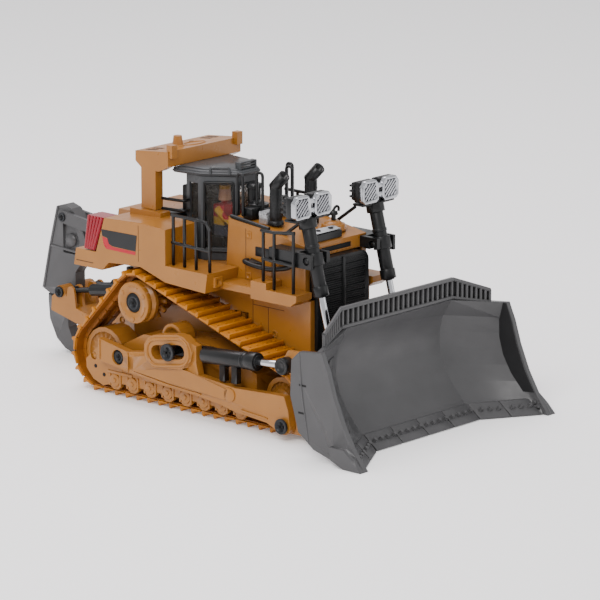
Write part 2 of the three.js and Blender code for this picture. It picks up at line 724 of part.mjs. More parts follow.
// The barred guard along the blade's top: two rails and a row of upright bars.
function bladeGuard() {
  const half = 52.5;
  const end = 78;
  const y = 51;
  const railAt = (z, endZ, drop) => join(
    block([-half, half], [y - 1.2, y + 1.2], [z - drop, z]),
    ...[-1, 1].map((side) => bar([side * (half - 0.5), y, z - drop / 2], [side * end, 42, endZ], drop / 2 + 0.2, 4)),
  );
  const rails = join(railAt(86.5, 72.6, 2.4), railAt(75.8, 70.6, 2.4));
  const count = 19;
  const bars = Array.from({ length: count }, (_, i) => {
    const x = -half + 1 + (i * (2 * half - 2)) / (count - 1);
    return block([x - 0.9, x + 0.9], [y - 1, y + 1], [74, 85.5]);
  });
  const wingBars = [-1, 1].flatMap((side) => [58.5, 64.5, 70.5].map((x) => {
    const share = (x - half) / (end - half);
    const yBar = y - share * 9;
    return block(
      [side * x - 0.9, side * x + 0.9],
      [yBar - 1, yBar + 1],
      [75 - share * 4.5, 85 - share * 12.6],
    );
  }));
  return join(rails, ...bars, ...wingBars);
}

function bladeBracket() {
  const outline = [
    [PAD.y + GAP, 4], [82, 3.8], ...arcPoints(BLADE_PIVOT, 4.4, -60, 60, 4), [77, 20], [77, 40],
    ...arcPoints(STRUT_PIVOT, 6, -60, 60, 4), [84, 56], [PAD.y + GAP, 56],
  ];
  const plate = sidePlate(outline, [BELT_OUTER + 0.6, ARM_X[0] - GAP]);
  const foot = block([PAD.x0, ARM_X[0] - GAP], [PAD.y + GAP, PAD.y + 3], [6, 56]);
  const bladePin = pinX(BLADE_PIVOT, [62, 70.4], 2.1, 12);
  const strutPin = pinX(STRUT_PIVOT, [62, 70.2], 1.8, 12);
  return join(plate, foot, bladePin, strutPin);
}

// A tilt strut: dummy cylinder, its rod and eye, and the rear tongue with the slot bolt.
function tiltStrut() {
  const x = 66.2;
  const axisAt = (y) => STRUT_PIVOT[1] + ((y - STRUT_PIVOT[0]) * (SLOT_BOLT[1] - STRUT_PIVOT[1])) / (SLOT_BOLT[0] - STRUT_PIVOT[0]);
  const along = (from, to, radius, sides) => bar([x, from, axisAt(from)], [x, to, axisAt(to)], radius, sides);
  const barrel = along(150, 113, 5, 12);
  const gland = along(114, 106.5, 5.6, 12);
  const rod = along(107.5, 86, 2.1, 10);
  const eye = cut(pinX(STRUT_PIVOT, [64, 69.6], 5.2, 16), pinX(STRUT_PIVOT, [63, 71], 2.1, 12));
  const tongue = sidePlate([[148.5, 37.4], [148.5, 46.8], [184, 43.4], [184, 36.6]], [61, ARM_X[0] - GAP]);
  const bolt = join(pinX(SLOT_BOLT, [62, 72.4], 2.6, 12), pinX(SLOT_BOLT, [71.1, 73], 5.4, 14));
  const shoulder = block([61, 67], [146.5, 151.8], [38.2, 46.6]);
  const legs = [[132.6, 137], [122.4, 127]].map(([y0, y1]) => block([64.2, 68.2], [y0, y1], [28.6, 43]));
  return join(barrel, gland, cut(rod, pinX(STRUT_PIVOT, [60, 72], 3, 12)), eye, tongue, bolt, shoulder, ...legs);
}

// ---------------------------------------------------------------- lift cylinders

const LIFT_AXIS = (() => {
  const dy = LIFT_EYE[0] - LIFT_TRUNNION[0];
  const dz = LIFT_EYE[1] - LIFT_TRUNNION[1];
  const reach = Math.hypot(dy, dz);
  return [dy / reach, dz / reach];
})();
const LIFT_REACH = Math.hypot(LIFT_EYE[0] - LIFT_TRUNNION[0], LIFT_EYE[1] - LIFT_TRUNNION[1]);

// A point on the lift cylinder's axis, at a distance below the trunnion.
function liftPoint(distance) {
  return [
    LIFT_HALF,
    LIFT_TRUNNION[0] + distance * LIFT_AXIS[0],
    LIFT_TRUNNION[1] + distance * LIFT_AXIS[1],
  ];
}

function liftBarrel() {
  const tube = bar(liftPoint(-24), liftPoint(21), 4.1, 12);
  const gland = bar(liftPoint(17), liftPoint(22.6), 4.7, 12);
  const collar = bar(liftPoint(-3.6), liftPoint(3.6), 5.6, 12);
  const trunnion = pinX(LIFT_TRUNNION, [22.6, 39.2], 2.2, 10);
  const neck = bar(liftPoint(-25.6), liftPoint(-20), 5.4, 12);
  const tray = block([LIFT_HALF - 13, LIFT_HALF + 13], [95.5, 103], [129.9, 131.7]);
  const bore = bar(liftPoint(-21.4), liftPoint(24), 2.6, 10);
  return cut(join(tube, gland, collar, trunnion, neck, tray), bore);
}

function liftRod() {
  const rod = bar(liftPoint(14), liftPoint(LIFT_REACH - 1), 2.1, 10);
  const eye = pinX(LIFT_EYE, [LIFT_HALF - 2.2, LIFT_HALF + 2.2], 3.4, 14);
  const pin = pinX(LIFT_EYE, [LIFT_HALF - 5, LIFT_HALF + 5], 1.5, 10);
  return join(rod, eye, pin);
}

// Twin work lamps: two housings side by side, joined by a short bridge.
function workLamps() {
  const housing = (x) => block([x - 7.6, x + 7.6], [92, 101], [132.1, 146.7]);
  const bridge = block([LIFT_HALF - 4, LIFT_HALF + 4], [94, 100], [133.5, 141.5]);
  return join(housing(LIFT_HALF - 9.4), housing(LIFT_HALF + 9.4), bridge);
}

// The bracket on the hood's front corner: a fork round the lift cylinder's trunnion collar.
function trunnionBracket() {
  const z = [101, 110.5];
  const upper = [103.6, 110.5];
  const flank = block([BODY_HALF + GAP, 38], [99, 122], z);
  const outer = sidePlate([[87, z[0]], [87, z[1]], [122, z[1]], [122, z[0]]], [37.4, 39.4]);
  const web = block([22, 30], [98.8, 101.5 - GAP], upper);
  const inner = block([22, 25], [87, 101.5 - GAP], upper);
  return cut(join(flank, outer, web, inner), pinX(LIFT_TRUNNION, [21, 40.6], 2.6, 12));
}

// ---------------------------------------------------------------- ripper

const RIPPER_REAR = [RIPPER_PIVOT[0] + RIPPER_LINK[0], RIPPER_PIVOT[1] + RIPPER_LINK[1]];
const LINK_REAR = [LINK_PIVOT[0] + RIPPER_LINK[0], LINK_PIVOT[1] + RIPPER_LINK[1]];

// The lower frame: a broad arm, notched at the rear round the carriage, with ears for the rods.
function ripperFrame() {
  const half = 14;
  const outline = [
    [264, 31], [264, 42], [273, 42], [292, 33.5], [306, 32.5], [322, 36.5],
    ...arcPoints(RIPPER_REAR, 4.2, 150, -20, 6), [338.5, 40], [339.4, 30.5], [310, 23.6],
    [290, 23], [270, 28.5],
  ];
  const body = sidePlate(outline, [-half, half]);
  const notch = block([-4.7, 4.7], [317, 345], [20, 52]);
  const [rodY, rodZ] = RIPPER_ROD_PIVOT;
  const earOutline = [[rodY + 5, 36], ...arcPoints([rodY, rodZ], 3.2, 0, 180, 5), [rodY - 5, 33]];
  const ears = [[5, 7.4], [12.4, half]].flatMap(([x0, x1]) => [[x0, x1], [-x1, -x0]]);
  const plates = ears.map((x) => sidePlate(earOutline, x));
  const pins = [[13, 18.6], [-18.6, -13]].map((x) => pinX(RIPPER_PIVOT, x, 2, 12));
  const rodPins = [[7, 12.8], [-12.8, -7]].map((x) => pinX(RIPPER_ROD_PIVOT, x, 1.2, 8));
  return cut(join(cut(body, notch), ...plates, ...pins, ...rodPins), pinX(RIPPER_REAR, [-15, 15], 2.4, 12));
}

// The upper link frame that keeps the carriage level.
function ripperLink() {
  const outline = slotOutline(LINK_PIVOT, LINK_REAR, 4, 5);
  const arms = [4.7, -7.2].map((x) => sidePlate(outline, [x, x + 2.5]));
  const middle = sidePlate([[284, 82.4], [284, 89.4], [305, 92.2], [305, 85]], [-7, 7]);
  const holes = [LINK_PIVOT, LINK_REAR].map((pivot) => pinX(pivot, [-15, 15], 2.3, 12));
  return cut(join(...arms, middle), ...holes);
}

function linkBracket() {
  const [y, z] = LINK_PIVOT;
  return join(
    sidePlate([[263, z - 7], [263, z + 8], [y, z + 5], ...arcPoints([y, z], 5, 80, -70, 5)], [-4.4, 4.4]),
    pinX(LINK_PIVOT, [-7, 7], 1.9, 12),
  );
}

// The carriage: a tall tapering casting with a socket for the shank in its lower end.
function ripperCarriage() {
  const outline = [
    [342.5, 98.5], [336, 100.5], [329, 98.5], [322, 92], [317, 80], [318, 66], [326, 56],
    [326, 46], [331, 38.4], [350, 38.4], [357, 41.5], [350, 71],
  ];
  const body = sidePlate(outline, [-4.4, 4.4]);
  const recess = [[337, 68], [337, 92], [327, 88], [322, 78], [323, 68]];
  const recesses = [[2.6, 5], [-5, -2.6]].map((x) => sidePlate(recess, x));
  const socket = block([-2.7, 2.7], [337.7, 348.3], [37, 52]);
  const boss = pinX([330.4, 77], [-4.4, 4.4], 4.6, 12);
  const lowerPins = pinX(RIPPER_REAR, [-13.8, 13.8], 2, 12);
  const upperPins = pinX(LINK_REAR, [-7, 7], 1.9, 12);
  return cut(join(cut(body, ...recesses), boss, lowerPins, upperPins), socket);
}

function ripperShank() {
  const outline = [
    [333, 38.1], [352, 38.1], [352, 33], [351, 21], [344.5, 8.6], [337, 3], [326.8, 0],
    [327.4, 5], [333.6, 18], [334.6, 29],
  ];
  const tenon = block([-2.4, 2.4], [338, 348], [37, 51]);
  return join(sidePlate(outline, [-3.9, 3.9]), tenon);
}

const RIPPER_CYLINDER_X = 10;

function ripperPoint(share, x = RIPPER_CYLINDER_X) {
  return [
    x,
    RIPPER_BARREL_PIVOT[0] + share * (RIPPER_ROD_PIVOT[0] - RIPPER_BARREL_PIVOT[0]),
    RIPPER_BARREL_PIVOT[1] + share * (RIPPER_ROD_PIVOT[1] - RIPPER_BARREL_PIVOT[1]),
  ];
}

function ripperBarrel() {
  const tube = bar(ripperPoint(0.06), ripperPoint(0.7), 4, 12);
  const eye = pinX(RIPPER_BARREL_PIVOT, [7.8, 12.2], 4.4, 12);
  const pin = pinX(RIPPER_BARREL_PIVOT, [12, 18.6], 1.6, 10);
  const bore = bar(ripperPoint(0.2), ripperPoint(0.8), 2.4, 10);
  return cut(join(tube, eye, pin), bore);
}

function ripperRod() {
  const rod = bar(ripperPoint(0.42), ripperPoint(0.97), 1.8, 10);
  const eye = pinX(RIPPER_ROD_PIVOT, [8, 12], 2.6, 12);
  return cut(join(rod, eye), pinX(RIPPER_ROD_PIVOT, [7, 13], 1.7, 10));
}

// ---------------------------------------------------------------- assembly

add('chassis_hull', chassisHull(), OCHRE());
add('bottom_cover', bottomCover(), BLACK());
add('battery_pack', batteryPack(), BLACK());
add('circuit_board', circuitBoard(), plastic('#2f6b3f', 0.5));
add('drive_gearbox', driveGearbox(), plastic('#d8d8d4', 0.5));
add('power_switch', powerSwitch(), BLACK());
add('upper_body', join(upperBody(), linkBracket()), OCHRE());
add('radiator_grille', radiatorGrille(), BLACK());
add('hood_vent_box', hoodVentBox(), BLACK());
add('pre_cleaner', preCleaner(), BLACK());
add('rops_canopy', ropsCanopy(), OCHRE());
add('cab_shell', cabShell(), CAB_GREY());
add('cab_glazing', cabGlazing(), CLEAR());
add('cab_roof', cabRoof(), CAB_GREY());
add('driver_seat', driverSeat(), BLACK());
add('driver_figure', driverFigure(), RED());
add('blade', blade(), BLADE_GREY());
add('blade_guard', bladeGuard(), BLADE_GREY());
add('front_handrail', frontHandrail(), BLACK());
add('ripper_frame', ripperFrame(), OCHRE());
add('ripper_link', ripperLink(), BLADE_GREY());
add('ripper_carriage', ripperCarriage(), BLADE_GREY());
add('ripper_shank', ripperShank(), BLADE_GREY());

addPair('track_belt', trackBelt(), TRACK_ORANGE);
addPair('track_frame', trackFrame(), OCHRE);
addPair('sprocket', sprocket(), OCHRE);
addPair('front_idler', idler(FRONT_IDLER), OCHRE);
addPair('rear_idler', idler(REAR_IDLER), OCHRE);
addPair('exhaust', exhaust(), BLACK);
addPair('fender_tank', fenderTank(), OCHRE);
addPair('tail_lamp', tailLamp(), RED);
addPair('rear_handrail', rearHandrail(), BLACK);
addPair('push_arm', pushArm(), OCHRE);
addPair('blade_bracket', bladeBracket(), OCHRE);
addPair('tilt_strut', tiltStrut(), BLACK);
addPair('trunnion_bracket', trunnionBracket(), BLACK);
addPair('lift_barrel', liftBarrel(), BLACK);
addPair('lift_rod', liftRod(), CHROME);
addPair('work_lamps', workLamps(), CHROME);
addPair('ripper_barrel', ripperBarrel(), BLACK);
addPair('ripper_rod', ripperRod(), BLACK);

export default model;
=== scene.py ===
"""Toy bulldozer: the finished visual model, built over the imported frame.

Places are given as (x, station, height) in millimetres: x across the machine with its left
at +x, the station rearwards from the blade's corner tips, and the height above the ground.
"""

import logging
import math
from dataclasses import dataclass, field
from enum import Enum
from typing import Callable, Iterator, Sequence

import bpy
from mathutils import Matrix, Vector


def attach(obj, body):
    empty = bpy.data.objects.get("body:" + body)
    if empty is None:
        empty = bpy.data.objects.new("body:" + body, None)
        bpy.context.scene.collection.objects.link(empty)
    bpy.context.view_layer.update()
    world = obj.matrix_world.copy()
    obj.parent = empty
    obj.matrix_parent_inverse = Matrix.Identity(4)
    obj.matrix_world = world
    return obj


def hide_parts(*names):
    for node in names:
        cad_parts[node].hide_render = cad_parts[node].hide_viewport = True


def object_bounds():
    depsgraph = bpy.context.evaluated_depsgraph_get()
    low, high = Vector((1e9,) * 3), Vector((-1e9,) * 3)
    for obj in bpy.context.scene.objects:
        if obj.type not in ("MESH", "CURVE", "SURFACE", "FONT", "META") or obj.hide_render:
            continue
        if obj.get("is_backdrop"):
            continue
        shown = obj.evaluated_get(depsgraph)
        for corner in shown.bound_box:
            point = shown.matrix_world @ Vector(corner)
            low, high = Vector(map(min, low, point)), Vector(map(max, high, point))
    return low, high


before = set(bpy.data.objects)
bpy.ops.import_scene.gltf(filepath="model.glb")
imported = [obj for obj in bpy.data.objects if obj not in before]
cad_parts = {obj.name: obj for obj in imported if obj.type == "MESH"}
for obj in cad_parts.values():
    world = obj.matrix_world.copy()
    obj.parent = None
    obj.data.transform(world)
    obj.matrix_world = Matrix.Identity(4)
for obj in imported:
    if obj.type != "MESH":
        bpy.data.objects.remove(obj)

MM = 0.001
LOG = logging.getLogger("bulldozer")
Piece = bpy.types.Object
Point = tuple[float, float, float]
Pair = tuple[float, float]


class Side(Enum):
    """The machine's two sides, with the sign of x on each."""

    LEFT = 1
    RIGHT = -1

    @property
    def tag(self) -> str:
        """The ending of the names of the parts on this side."""
        return self.name.lower()


# ---------------------------------------------------------------- finishes


def linear(colour: Sequence[float]) -> tuple[float, float, float, float]:
    """Turns a display colour into the linear one that a shader takes.

    Args:
        colour: red, green and blue from 0 to 255.

    Returns:
        The linear colour with full alpha.
    """
    parts = []
    for part in colour:
        share = part / 255
        parts.append(share / 12.92 if share <= 0.04045 else ((share + 0.055) / 1.055) ** 2.4)
    return (parts[0], parts[1], parts[2], 1.0)
@dataclass
class Tree:
    """The node tree of a material being built."""

    material: bpy.types.Material

    def __post_init__(self) -> None:
        """Turns the nodes on, and finds the shader and the object coordinates."""
        self.material.use_nodes = True
        self.shader = self.material.node_tree.nodes["Principled BSDF"]
        self.place = self.add("ShaderNodeTexCoord", {}).outputs["Object"]

    def add(self, kind: str, values: dict[str, float]) -> bpy.types.Node:
        """Adds a node and sets the constants on its inputs.

        Args:
            kind: the node's type.
            values: the constant of each input that has one.

        Returns:
            The node.
        """
        node = self.material.node_tree.nodes.new(kind)
        self.fix(node, values)
        return node

    @staticmethod
    def fix(node: bpy.types.Node, values: dict[str, float]) -> None:
        """Sets constants on a node's inputs."""
        for entry, value in values.items():
            node.inputs[entry].default_value = value

    def wire(self, *pairs: tuple[bpy.types.NodeSocket, bpy.types.NodeSocket]) -> None:
        """Links pairs of sockets, each from an output to an input."""
        for source, entry in pairs:
            self.material.node_tree.links.new(source, entry)


@dataclass(frozen=True)
class Finish:
    """A moulded or plated finish with mottling, a fine grain and softened edges."""

    name: str
    slot: str
    colour: Point
    roughness: float = 0.4
    metallic: float = 0.0
    mottling: float = 0.06
    grain: float = 0.05
    grain_scale: float = 900.0
    edge: float = 0.35
    coat: float = 0.0
    specular: float = 0.32
    coat_roughness: float = 0.12

    def material(self) -> bpy.types.Material:
        """Returns the finish's material, which is made at its first use."""
        found = bpy.data.materials.get(self.name)
        return found or self.make()

    def make(self) -> bpy.types.Material:
        """Builds the node material and returns it."""
        tree = Tree(bpy.data.materials.new(self.name))
        tree.fix(tree.shader, {
            "Metallic": self.metallic, "Specular IOR Level": self.specular,
            "Coat Weight": self.coat, "Coat Roughness": self.coat_roughness,
        })
        self.colour_nodes(tree)
        self.gloss_nodes(tree)
        self.surface_nodes(tree)
        return tree.material

    def colour_nodes(self, tree: Tree) -> None:
        """Mottles the base colour as the plastic's flow does."""
        noise = tree.add("ShaderNodeTexNoise", {"Scale": 55.0, "Detail": 5.0})
        ramp = tree.add("ShaderNodeValToRGB", {})
        base = linear(self.colour)[:3]
        tones = ((0.3, 1 - self.mottling), (0.7, 1 + self.mottling))
        for stop, (position, tone) in zip(ramp.color_ramp.elements, tones):
            stop.position = position
            stop.color = tuple(min(1.0, c * tone) for c in base) + (1.0,)
        tree.wire((tree.place, noise.inputs["Vector"]), (noise.outputs["Fac"], ramp.inputs["Fac"]),
                  (ramp.outputs["Color"], tree.shader.inputs["Base Color"]))

    def gloss_nodes(self, tree: Tree) -> None:
        """Varies the roughness with handling marks."""
        smear = tree.add("ShaderNodeTexNoise", {"Scale": 120.0, "Detail": 3.0})
        spread = tree.add("ShaderNodeMapRange", {
            "From Min": 0.3, "From Max": 0.7,
            "To Min": max(0.02, self.roughness * 0.85), "To Max": min(1.0, self.roughness * 1.2),
        })
        tree.wire((tree.place, smear.inputs["Vector"]), (smear.outputs["Fac"], spread.inputs["Value"]),
                  (spread.outputs["Result"], tree.shader.inputs["Roughness"]))

    def surface_nodes(self, tree: Tree) -> None:
        """Adds the fine grain, over edges softened as in a mould."""
        grain = tree.add("ShaderNodeTexNoise", {"Scale": self.grain_scale, "Detail": 2.0})
        soft = tree.add("ShaderNodeBevel", {"Radius": self.edge * MM})
        soft.samples = 4
        bump = tree.add("ShaderNodeBump", {"Strength": self.grain, "Distance": 0.1 * MM})
        tree.wire((tree.place, grain.inputs["Vector"]), (grain.outputs["Fac"], bump.inputs["Height"]),
                  (soft.outputs["Normal"], bump.inputs["Normal"]),
                  (bump.outputs["Normal"], tree.shader.inputs["Normal"]))


@dataclass(frozen=True)
class BandedFinish(Finish):
    """A finish whose colour changes at given heights, as paint on a small figure."""

    low: float = 85.0
    high: float = 140.0
    bands: tuple[tuple[float, Point], ...] = ()

    def colour_nodes(self, tree: Tree) -> None:
        """Colours the piece in bands by height."""
        split = tree.add("ShaderNodeSeparateXYZ", {})
        height = tree.add("ShaderNodeMapRange", {"From Min": self.low * MM, "From Max": self.high * MM})
        ramp = tree.add("ShaderNodeValToRGB", {})
        stops = ramp.color_ramp.elements
        ramp.color_ramp.interpolation = "CONSTANT"
        stops[0].color = linear(self.colour)
        shares = [(level - self.low) / (self.high - self.low) for level, _ in self.bands]
        stops[1].position = shares[0]
        stops[1].color = linear(self.bands[0][1])
        for share, (_, colour) in zip(shares[1:], self.bands[1:]):
            stops.new(share).color = linear(colour)
        tree.wire((tree.place, split.inputs["Vector"]), (split.outputs["Z"], height.inputs["Value"]),
                  (height.outputs["Result"], ramp.inputs["Fac"]),
                  (ramp.outputs["Color"], tree.shader.inputs["Base Color"]))


@dataclass(frozen=True)
class RibbedLens(Finish):
    """A clear lamp lens over a bright reflector, with slanted ribs."""

    def surface_nodes(self, tree: Tree) -> None:
        """Raises the slanted ribs."""
        turn = tree.add("ShaderNodeMapping", {"Rotation": (0.0, math.radians(40), 0.0)})
        ribs = tree.add("ShaderNodeTexWave", {"Scale": 190.0})
        ribs.bands_direction = "X"
        bump = tree.add("ShaderNodeBump", {"Strength": 0.78, "Distance": 0.5 * MM})
        tree.wire((tree.place, turn.inputs["Vector"]), (turn.outputs["Vector"], ribs.inputs["Vector"]),
                  (ribs.outputs["Fac"], bump.inputs["Height"]),
                  (bump.outputs["Normal"], tree.shader.inputs["Normal"]))


@dataclass(frozen=True)
class ClearPlastic(Finish):
    """Thin clear glazing with a slight smoke tint."""

    def make(self) -> bpy.types.Material:
        """Builds the node material and returns it."""
        material = super().make()
        shader = material.node_tree.nodes["Principled BSDF"]
        Tree.fix(shader, {"Transmission Weight": 0.85, "IOR": 1.2, "Alpha": 0.32})
        return material


OCHRE = Finish("ochre_plastic", "ochre", (150, 98, 38), roughness=0.32, coat=0.12)
# Ochre darkened to paint the shade inside grooves, seams, slots and dimples.
OCHRE_GROOVE_SHADE = Finish("ochre_groove_painted_shade", "ochre", (58, 34, 12), roughness=0.6)
TRACK = Finish("track_plastic", "track_orange", (168, 104, 16), roughness=0.38, mottling=0.14)
LINK = Finish("track_link_shade", "track_orange", (138, 80, 14), roughness=0.6, mottling=0.2)
BLADE_GREY = Finish("blade_paint", "blade_grey", (70, 70, 71), roughness=0.36, grain=0.08)
# Blade grey darkened to paint the shade on the end plates' inner faces.
CHEEK_SHADE = Finish("cheek_painted_shade", "blade_grey", (34, 34, 35), roughness=0.5)
CAB_GREY = Finish("cab_plastic", "cab_grey", (60, 62, 64), roughness=0.3)
SWITCH = Finish("switch_plastic", "black_plastic", (112, 70, 24), roughness=0.4)
BLACK = Finish("black_plastic_satin", "black_plastic", (19, 20, 21), roughness=0.32)
SCREW = Finish("screw_steel", "black_plastic", (40, 42, 45), roughness=0.35, metallic=0.5)
# Near black: painted shade in holes, slots, screw crosses and behind the guard's bars.
RECESS_SHADE = Finish("recess_painted_shade", "black_plastic", (8, 8, 9), roughness=0.7)
CHROME = Finish("bright_plating", "chrome", (196, 197, 201), roughness=0.08, metallic=1.0, grain=0.02)
LAMP_SHELL = Finish("lamp_plating", "chrome", (176, 178, 182), roughness=0.12, metallic=0.95, grain=0.02)
STEEL = Finish("silver_print", "chrome", (200, 201, 204), roughness=0.3, metallic=0.7)
LAMP_RED = Finish("lamp_red_gloss", "lamp_red", (136, 8, 28), roughness=0.22, coat=0.2)
PANEL_GREY = Finish("panel_print_grey", "black_plastic", (20, 21, 23), roughness=0.35, edge=0.1)
PANEL_RED = Finish("panel_print_red", "lamp_red", (166, 12, 32), roughness=0.3, edge=0.1)
BOARD = Finish("board_lacquer", "board_green", (47, 107, 63), roughness=0.4)
GEAR_WHITE = Finish("gearbox_plastic", "gear_white", (216, 214, 206), roughness=0.5)
LENS = RibbedLens("lens_ribbed", "chrome", (44, 47, 52), roughness=0.25, metallic=0.2)
GLAZING = ClearPlastic("clear_glazing", "clear_plastic", (150, 146, 140), roughness=0.06)
FIGURE = BandedFinish(
    "figure_paint", "figure_red", (52, 56, 70), roughness=0.5,
    bands=((108.0, (196, 150, 30)), (113.0, (172, 34, 44)), (123.0, (202, 150, 120)),
           (130.5, (190, 140, 40))),
)
SLEEVE = Finish("sleeve_paint", "figure_red", (198, 150, 34), roughness=0.5)


# ---------------------------------------------------------------- modelling bench


def linked(name: str, data: bpy.types.ID) -> Piece:
    """Puts new data into the scene as an object, and returns the object."""
    obj = bpy.data.objects.new(name, data)
    bpy.context.scene.collection.objects.link(obj)
    return obj
@dataclass
class Bench:
    """The moves used to model the pieces, all through Blender's own operators."""

    front: float

    def at(self, point: Sequence[float]) -> Vector:
        """Returns the place in metres of an (x, station, height) point in millimetres."""
        x, station, height = point
        return Vector((x * MM, self.front + station * MM, height * MM))

    @staticmethod
    def clear() -> None:
        """Deselects everything."""
        for obj in list(bpy.context.selected_objects):
            obj.select_set(False)

    @staticmethod
    def pick(obj: Piece) -> None:
        """Selects one piece alone and makes it the active one."""
        Bench.clear()
        obj.select_set(True)
        bpy.context.view_layer.objects.active = obj
    @staticmethod
    def taken(name: str) -> Piece:
        """Names the object just added and puts its place into its mesh.

        Args:
            name: the piece's name.

        Returns:
            The object.
        """
        obj = bpy.context.object
        obj.name = name
        bpy.ops.object.transform_apply(location=True, rotation=True, scale=True)
        return obj

    @staticmethod
    def soften(obj: Piece, width: float, segments: int = 2) -> Piece:
        """Bevels the sharp edges and smooths the rest.

        Args:
            obj: the piece, active and selected.
            width: the bevel in millimetres.
            segments: the bevel's steps.

        Returns:
            The same piece.
        """
        if width > 0:
            bevel = obj.modifiers.new("edges", "BEVEL")
            bevel.width = width * MM
            bevel.segments = segments
            bevel.limit_method = "ANGLE"
            bevel.angle_limit = math.radians(30)
            bpy.ops.object.modifier_apply(modifier=bevel.name)
        bpy.ops.object.shade_smooth_by_angle(angle=math.radians(40))
        return obj

    def slab(self, name: str, low: Point, high: Point, edge: float = 0.3) -> Piece:
        """Makes a block between two corners.

        Args:
            name: the piece's name.
            low: the lowest corner.
            high: the highest corner.
            edge: the rounding of its edges in millimetres.

        Returns:
            The block.
        """
        start, end = self.at(low), self.at(high)
        self.clear()
        bpy.ops.mesh.primitive_cube_add(size=1.0, location=(start + end) / 2, scale=end - start)
        return self.soften(self.taken(name), edge)

    def rod(self, name: str, start: Point, end: Point, radius: float, tip: float | None = None,
            sides: int = 24, edge: float = 0.25) -> Piece:
        """Makes a round bar or a cone between two points.

        Args:
            name: the piece's name.
            start: the middle of its first face.
            end: the middle of its last face.
            radius: the radius at the start.
            tip: the radius at the end, where it differs.
            sides: the number of sides.
            edge: the rounding of its rims.

        Returns:
            The bar.
        """
        first, last = self.at(start), self.at(end)
        axis = last - first
        self.clear()
        bpy.ops.mesh.primitive_cone_add(
            vertices=sides, radius1=radius * MM, radius2=(radius if tip is None else tip) * MM,
            depth=axis.length, location=(first + last) / 2,
            rotation=axis.to_track_quat("Z", "Y").to_euler(),
        )
        return self.soften(self.taken(name), edge)
    def disc(self, name: str, x: Pair, spot: Pair, radius: float, sides: int, edge: float) -> Piece:
        """Makes a round bar across the machine, between two x values at a (station, height)."""
        return self.rod(name, (x[0], *spot), (x[1], *spot), radius, sides=sides, edge=edge)

    def post(self, name: str, spot: Pair, z: Pair, radius: float, tip: float | None = None,
             sides: int = 24, edge: float = 0.25) -> Piece:
        """Makes an upright round bar, between two heights at an (x, station)."""
        return self.rod(name, (*spot, z[0]), (*spot, z[1]), radius, tip, sides, edge)
    def sleeve(self, name: str, start: Point, end: Point, radius: float, bore: float) -> Piece:
        """Makes an open tube between two points.

        Args:
            name: the piece's name.
            start: the middle of its first rim.
            end: the middle of its last rim.
            radius: its outer radius.
            bore: its inner radius.

        Returns:
            The tube.
        """
        first, last = self.at(start), self.at(end)
        axis = last - first
        self.clear()
        bpy.ops.mesh.primitive_cylinder_add(
            vertices=36, radius=radius * MM, depth=axis.length, end_fill_type="NOTHING",
            location=(first + last) / 2, rotation=axis.to_track_quat("Z", "Y").to_euler(),
        )
        wall = bpy.context.object.modifiers.new("wall", "SOLIDIFY")
        wall.thickness = (radius - bore) * MM
        wall.offset = -1.0
        bpy.ops.object.modifier_apply(modifier=wall.name)
        return self.soften(self.taken(name), 0.3)

    def prism(self, name: str, outline: Sequence[Point], along: Point, edge: float = 0.25) -> Piece:
        """Makes a solid by extruding a flat outline.

        Args:
            name: the piece's name.
            outline: the corners of the outline.
            along: the extrusion in millimetres.
            edge: the rounding of its edges.

        Returns:
            The solid.
        """
        self.clear()
        bpy.ops.mesh.primitive_circle_add(vertices=len(outline), fill_type="NGON", location=(0, 0, 0))
        obj = bpy.context.object
        obj.name = name
        for vertex, corner in zip(obj.data.vertices, outline):
            vertex.co = self.at(corner)
        bpy.ops.object.mode_set(mode="EDIT")
        bpy.ops.mesh.select_all(action="SELECT")
        move = {"value": tuple(step * MM for step in along)}
        bpy.ops.mesh.extrude_region_move(TRANSFORM_OT_translate=move)
        bpy.ops.mesh.select_all(action="SELECT")
        bpy.ops.mesh.normals_make_consistent(inside=False)
        bpy.ops.object.mode_set(mode="OBJECT")
        return self.soften(obj, edge)

    def side_plate(self, name: str, outline: Sequence[Pair], x: Pair, edge: float = 0.25) -> Piece:
        """Makes a plate from its (station, height) outline, between two x values."""
        return self.prism(name, [(x[0], y, z) for y, z in outline], (x[1] - x[0], 0.0, 0.0), edge)

    def tube(self, name: str, points: Sequence[Point], radius: float, bend: float = 3.0) -> Piece:
        """Makes a round tube through points, with its corners rounded.

        Args:
            name: the piece's name.
            points: the corners of its route.
            radius: the tube's radius.
            bend: how far before a corner its curve begins.

        Returns:
            The tube as a mesh.
        """
        route = list(self.eased([Vector(point) for point in points], bend))
        curve = bpy.data.curves.new(name, "CURVE")
        curve.dimensions = "3D"
        curve.bevel_depth = radius * MM
        curve.bevel_resolution = 3
        curve.use_fill_caps = True
        spline = curve.splines.new("POLY")
        spline.points.add(len(route) - 1)
        for knot, place in zip(spline.points, route):
            knot.co = (*self.at(place), 1.0)
        self.pick(linked(name, curve))
        bpy.ops.object.convert(target="MESH")
        bpy.ops.object.shade_smooth_by_angle(angle=math.radians(50))
        return bpy.context.object

    @staticmethod
    def eased(points: list[Vector], bend: float) -> Iterator[Vector]:
        """Yields a route whose corners are rounded by short curves."""
        yield points[0]
        for before, corner, after in zip(points, points[1:], points[2:]):
            back, onward = before - corner, after - corner
            start = corner + back.normalized() * min(bend, back.length * 0.45)
            end = corner + onward.normalized() * min(bend, onward.length * 0.45)
            for step in range(5):
                share = step / 4
                yield start.lerp(corner, share).lerp(corner.lerp(end, share), share)
        yield points[-1]

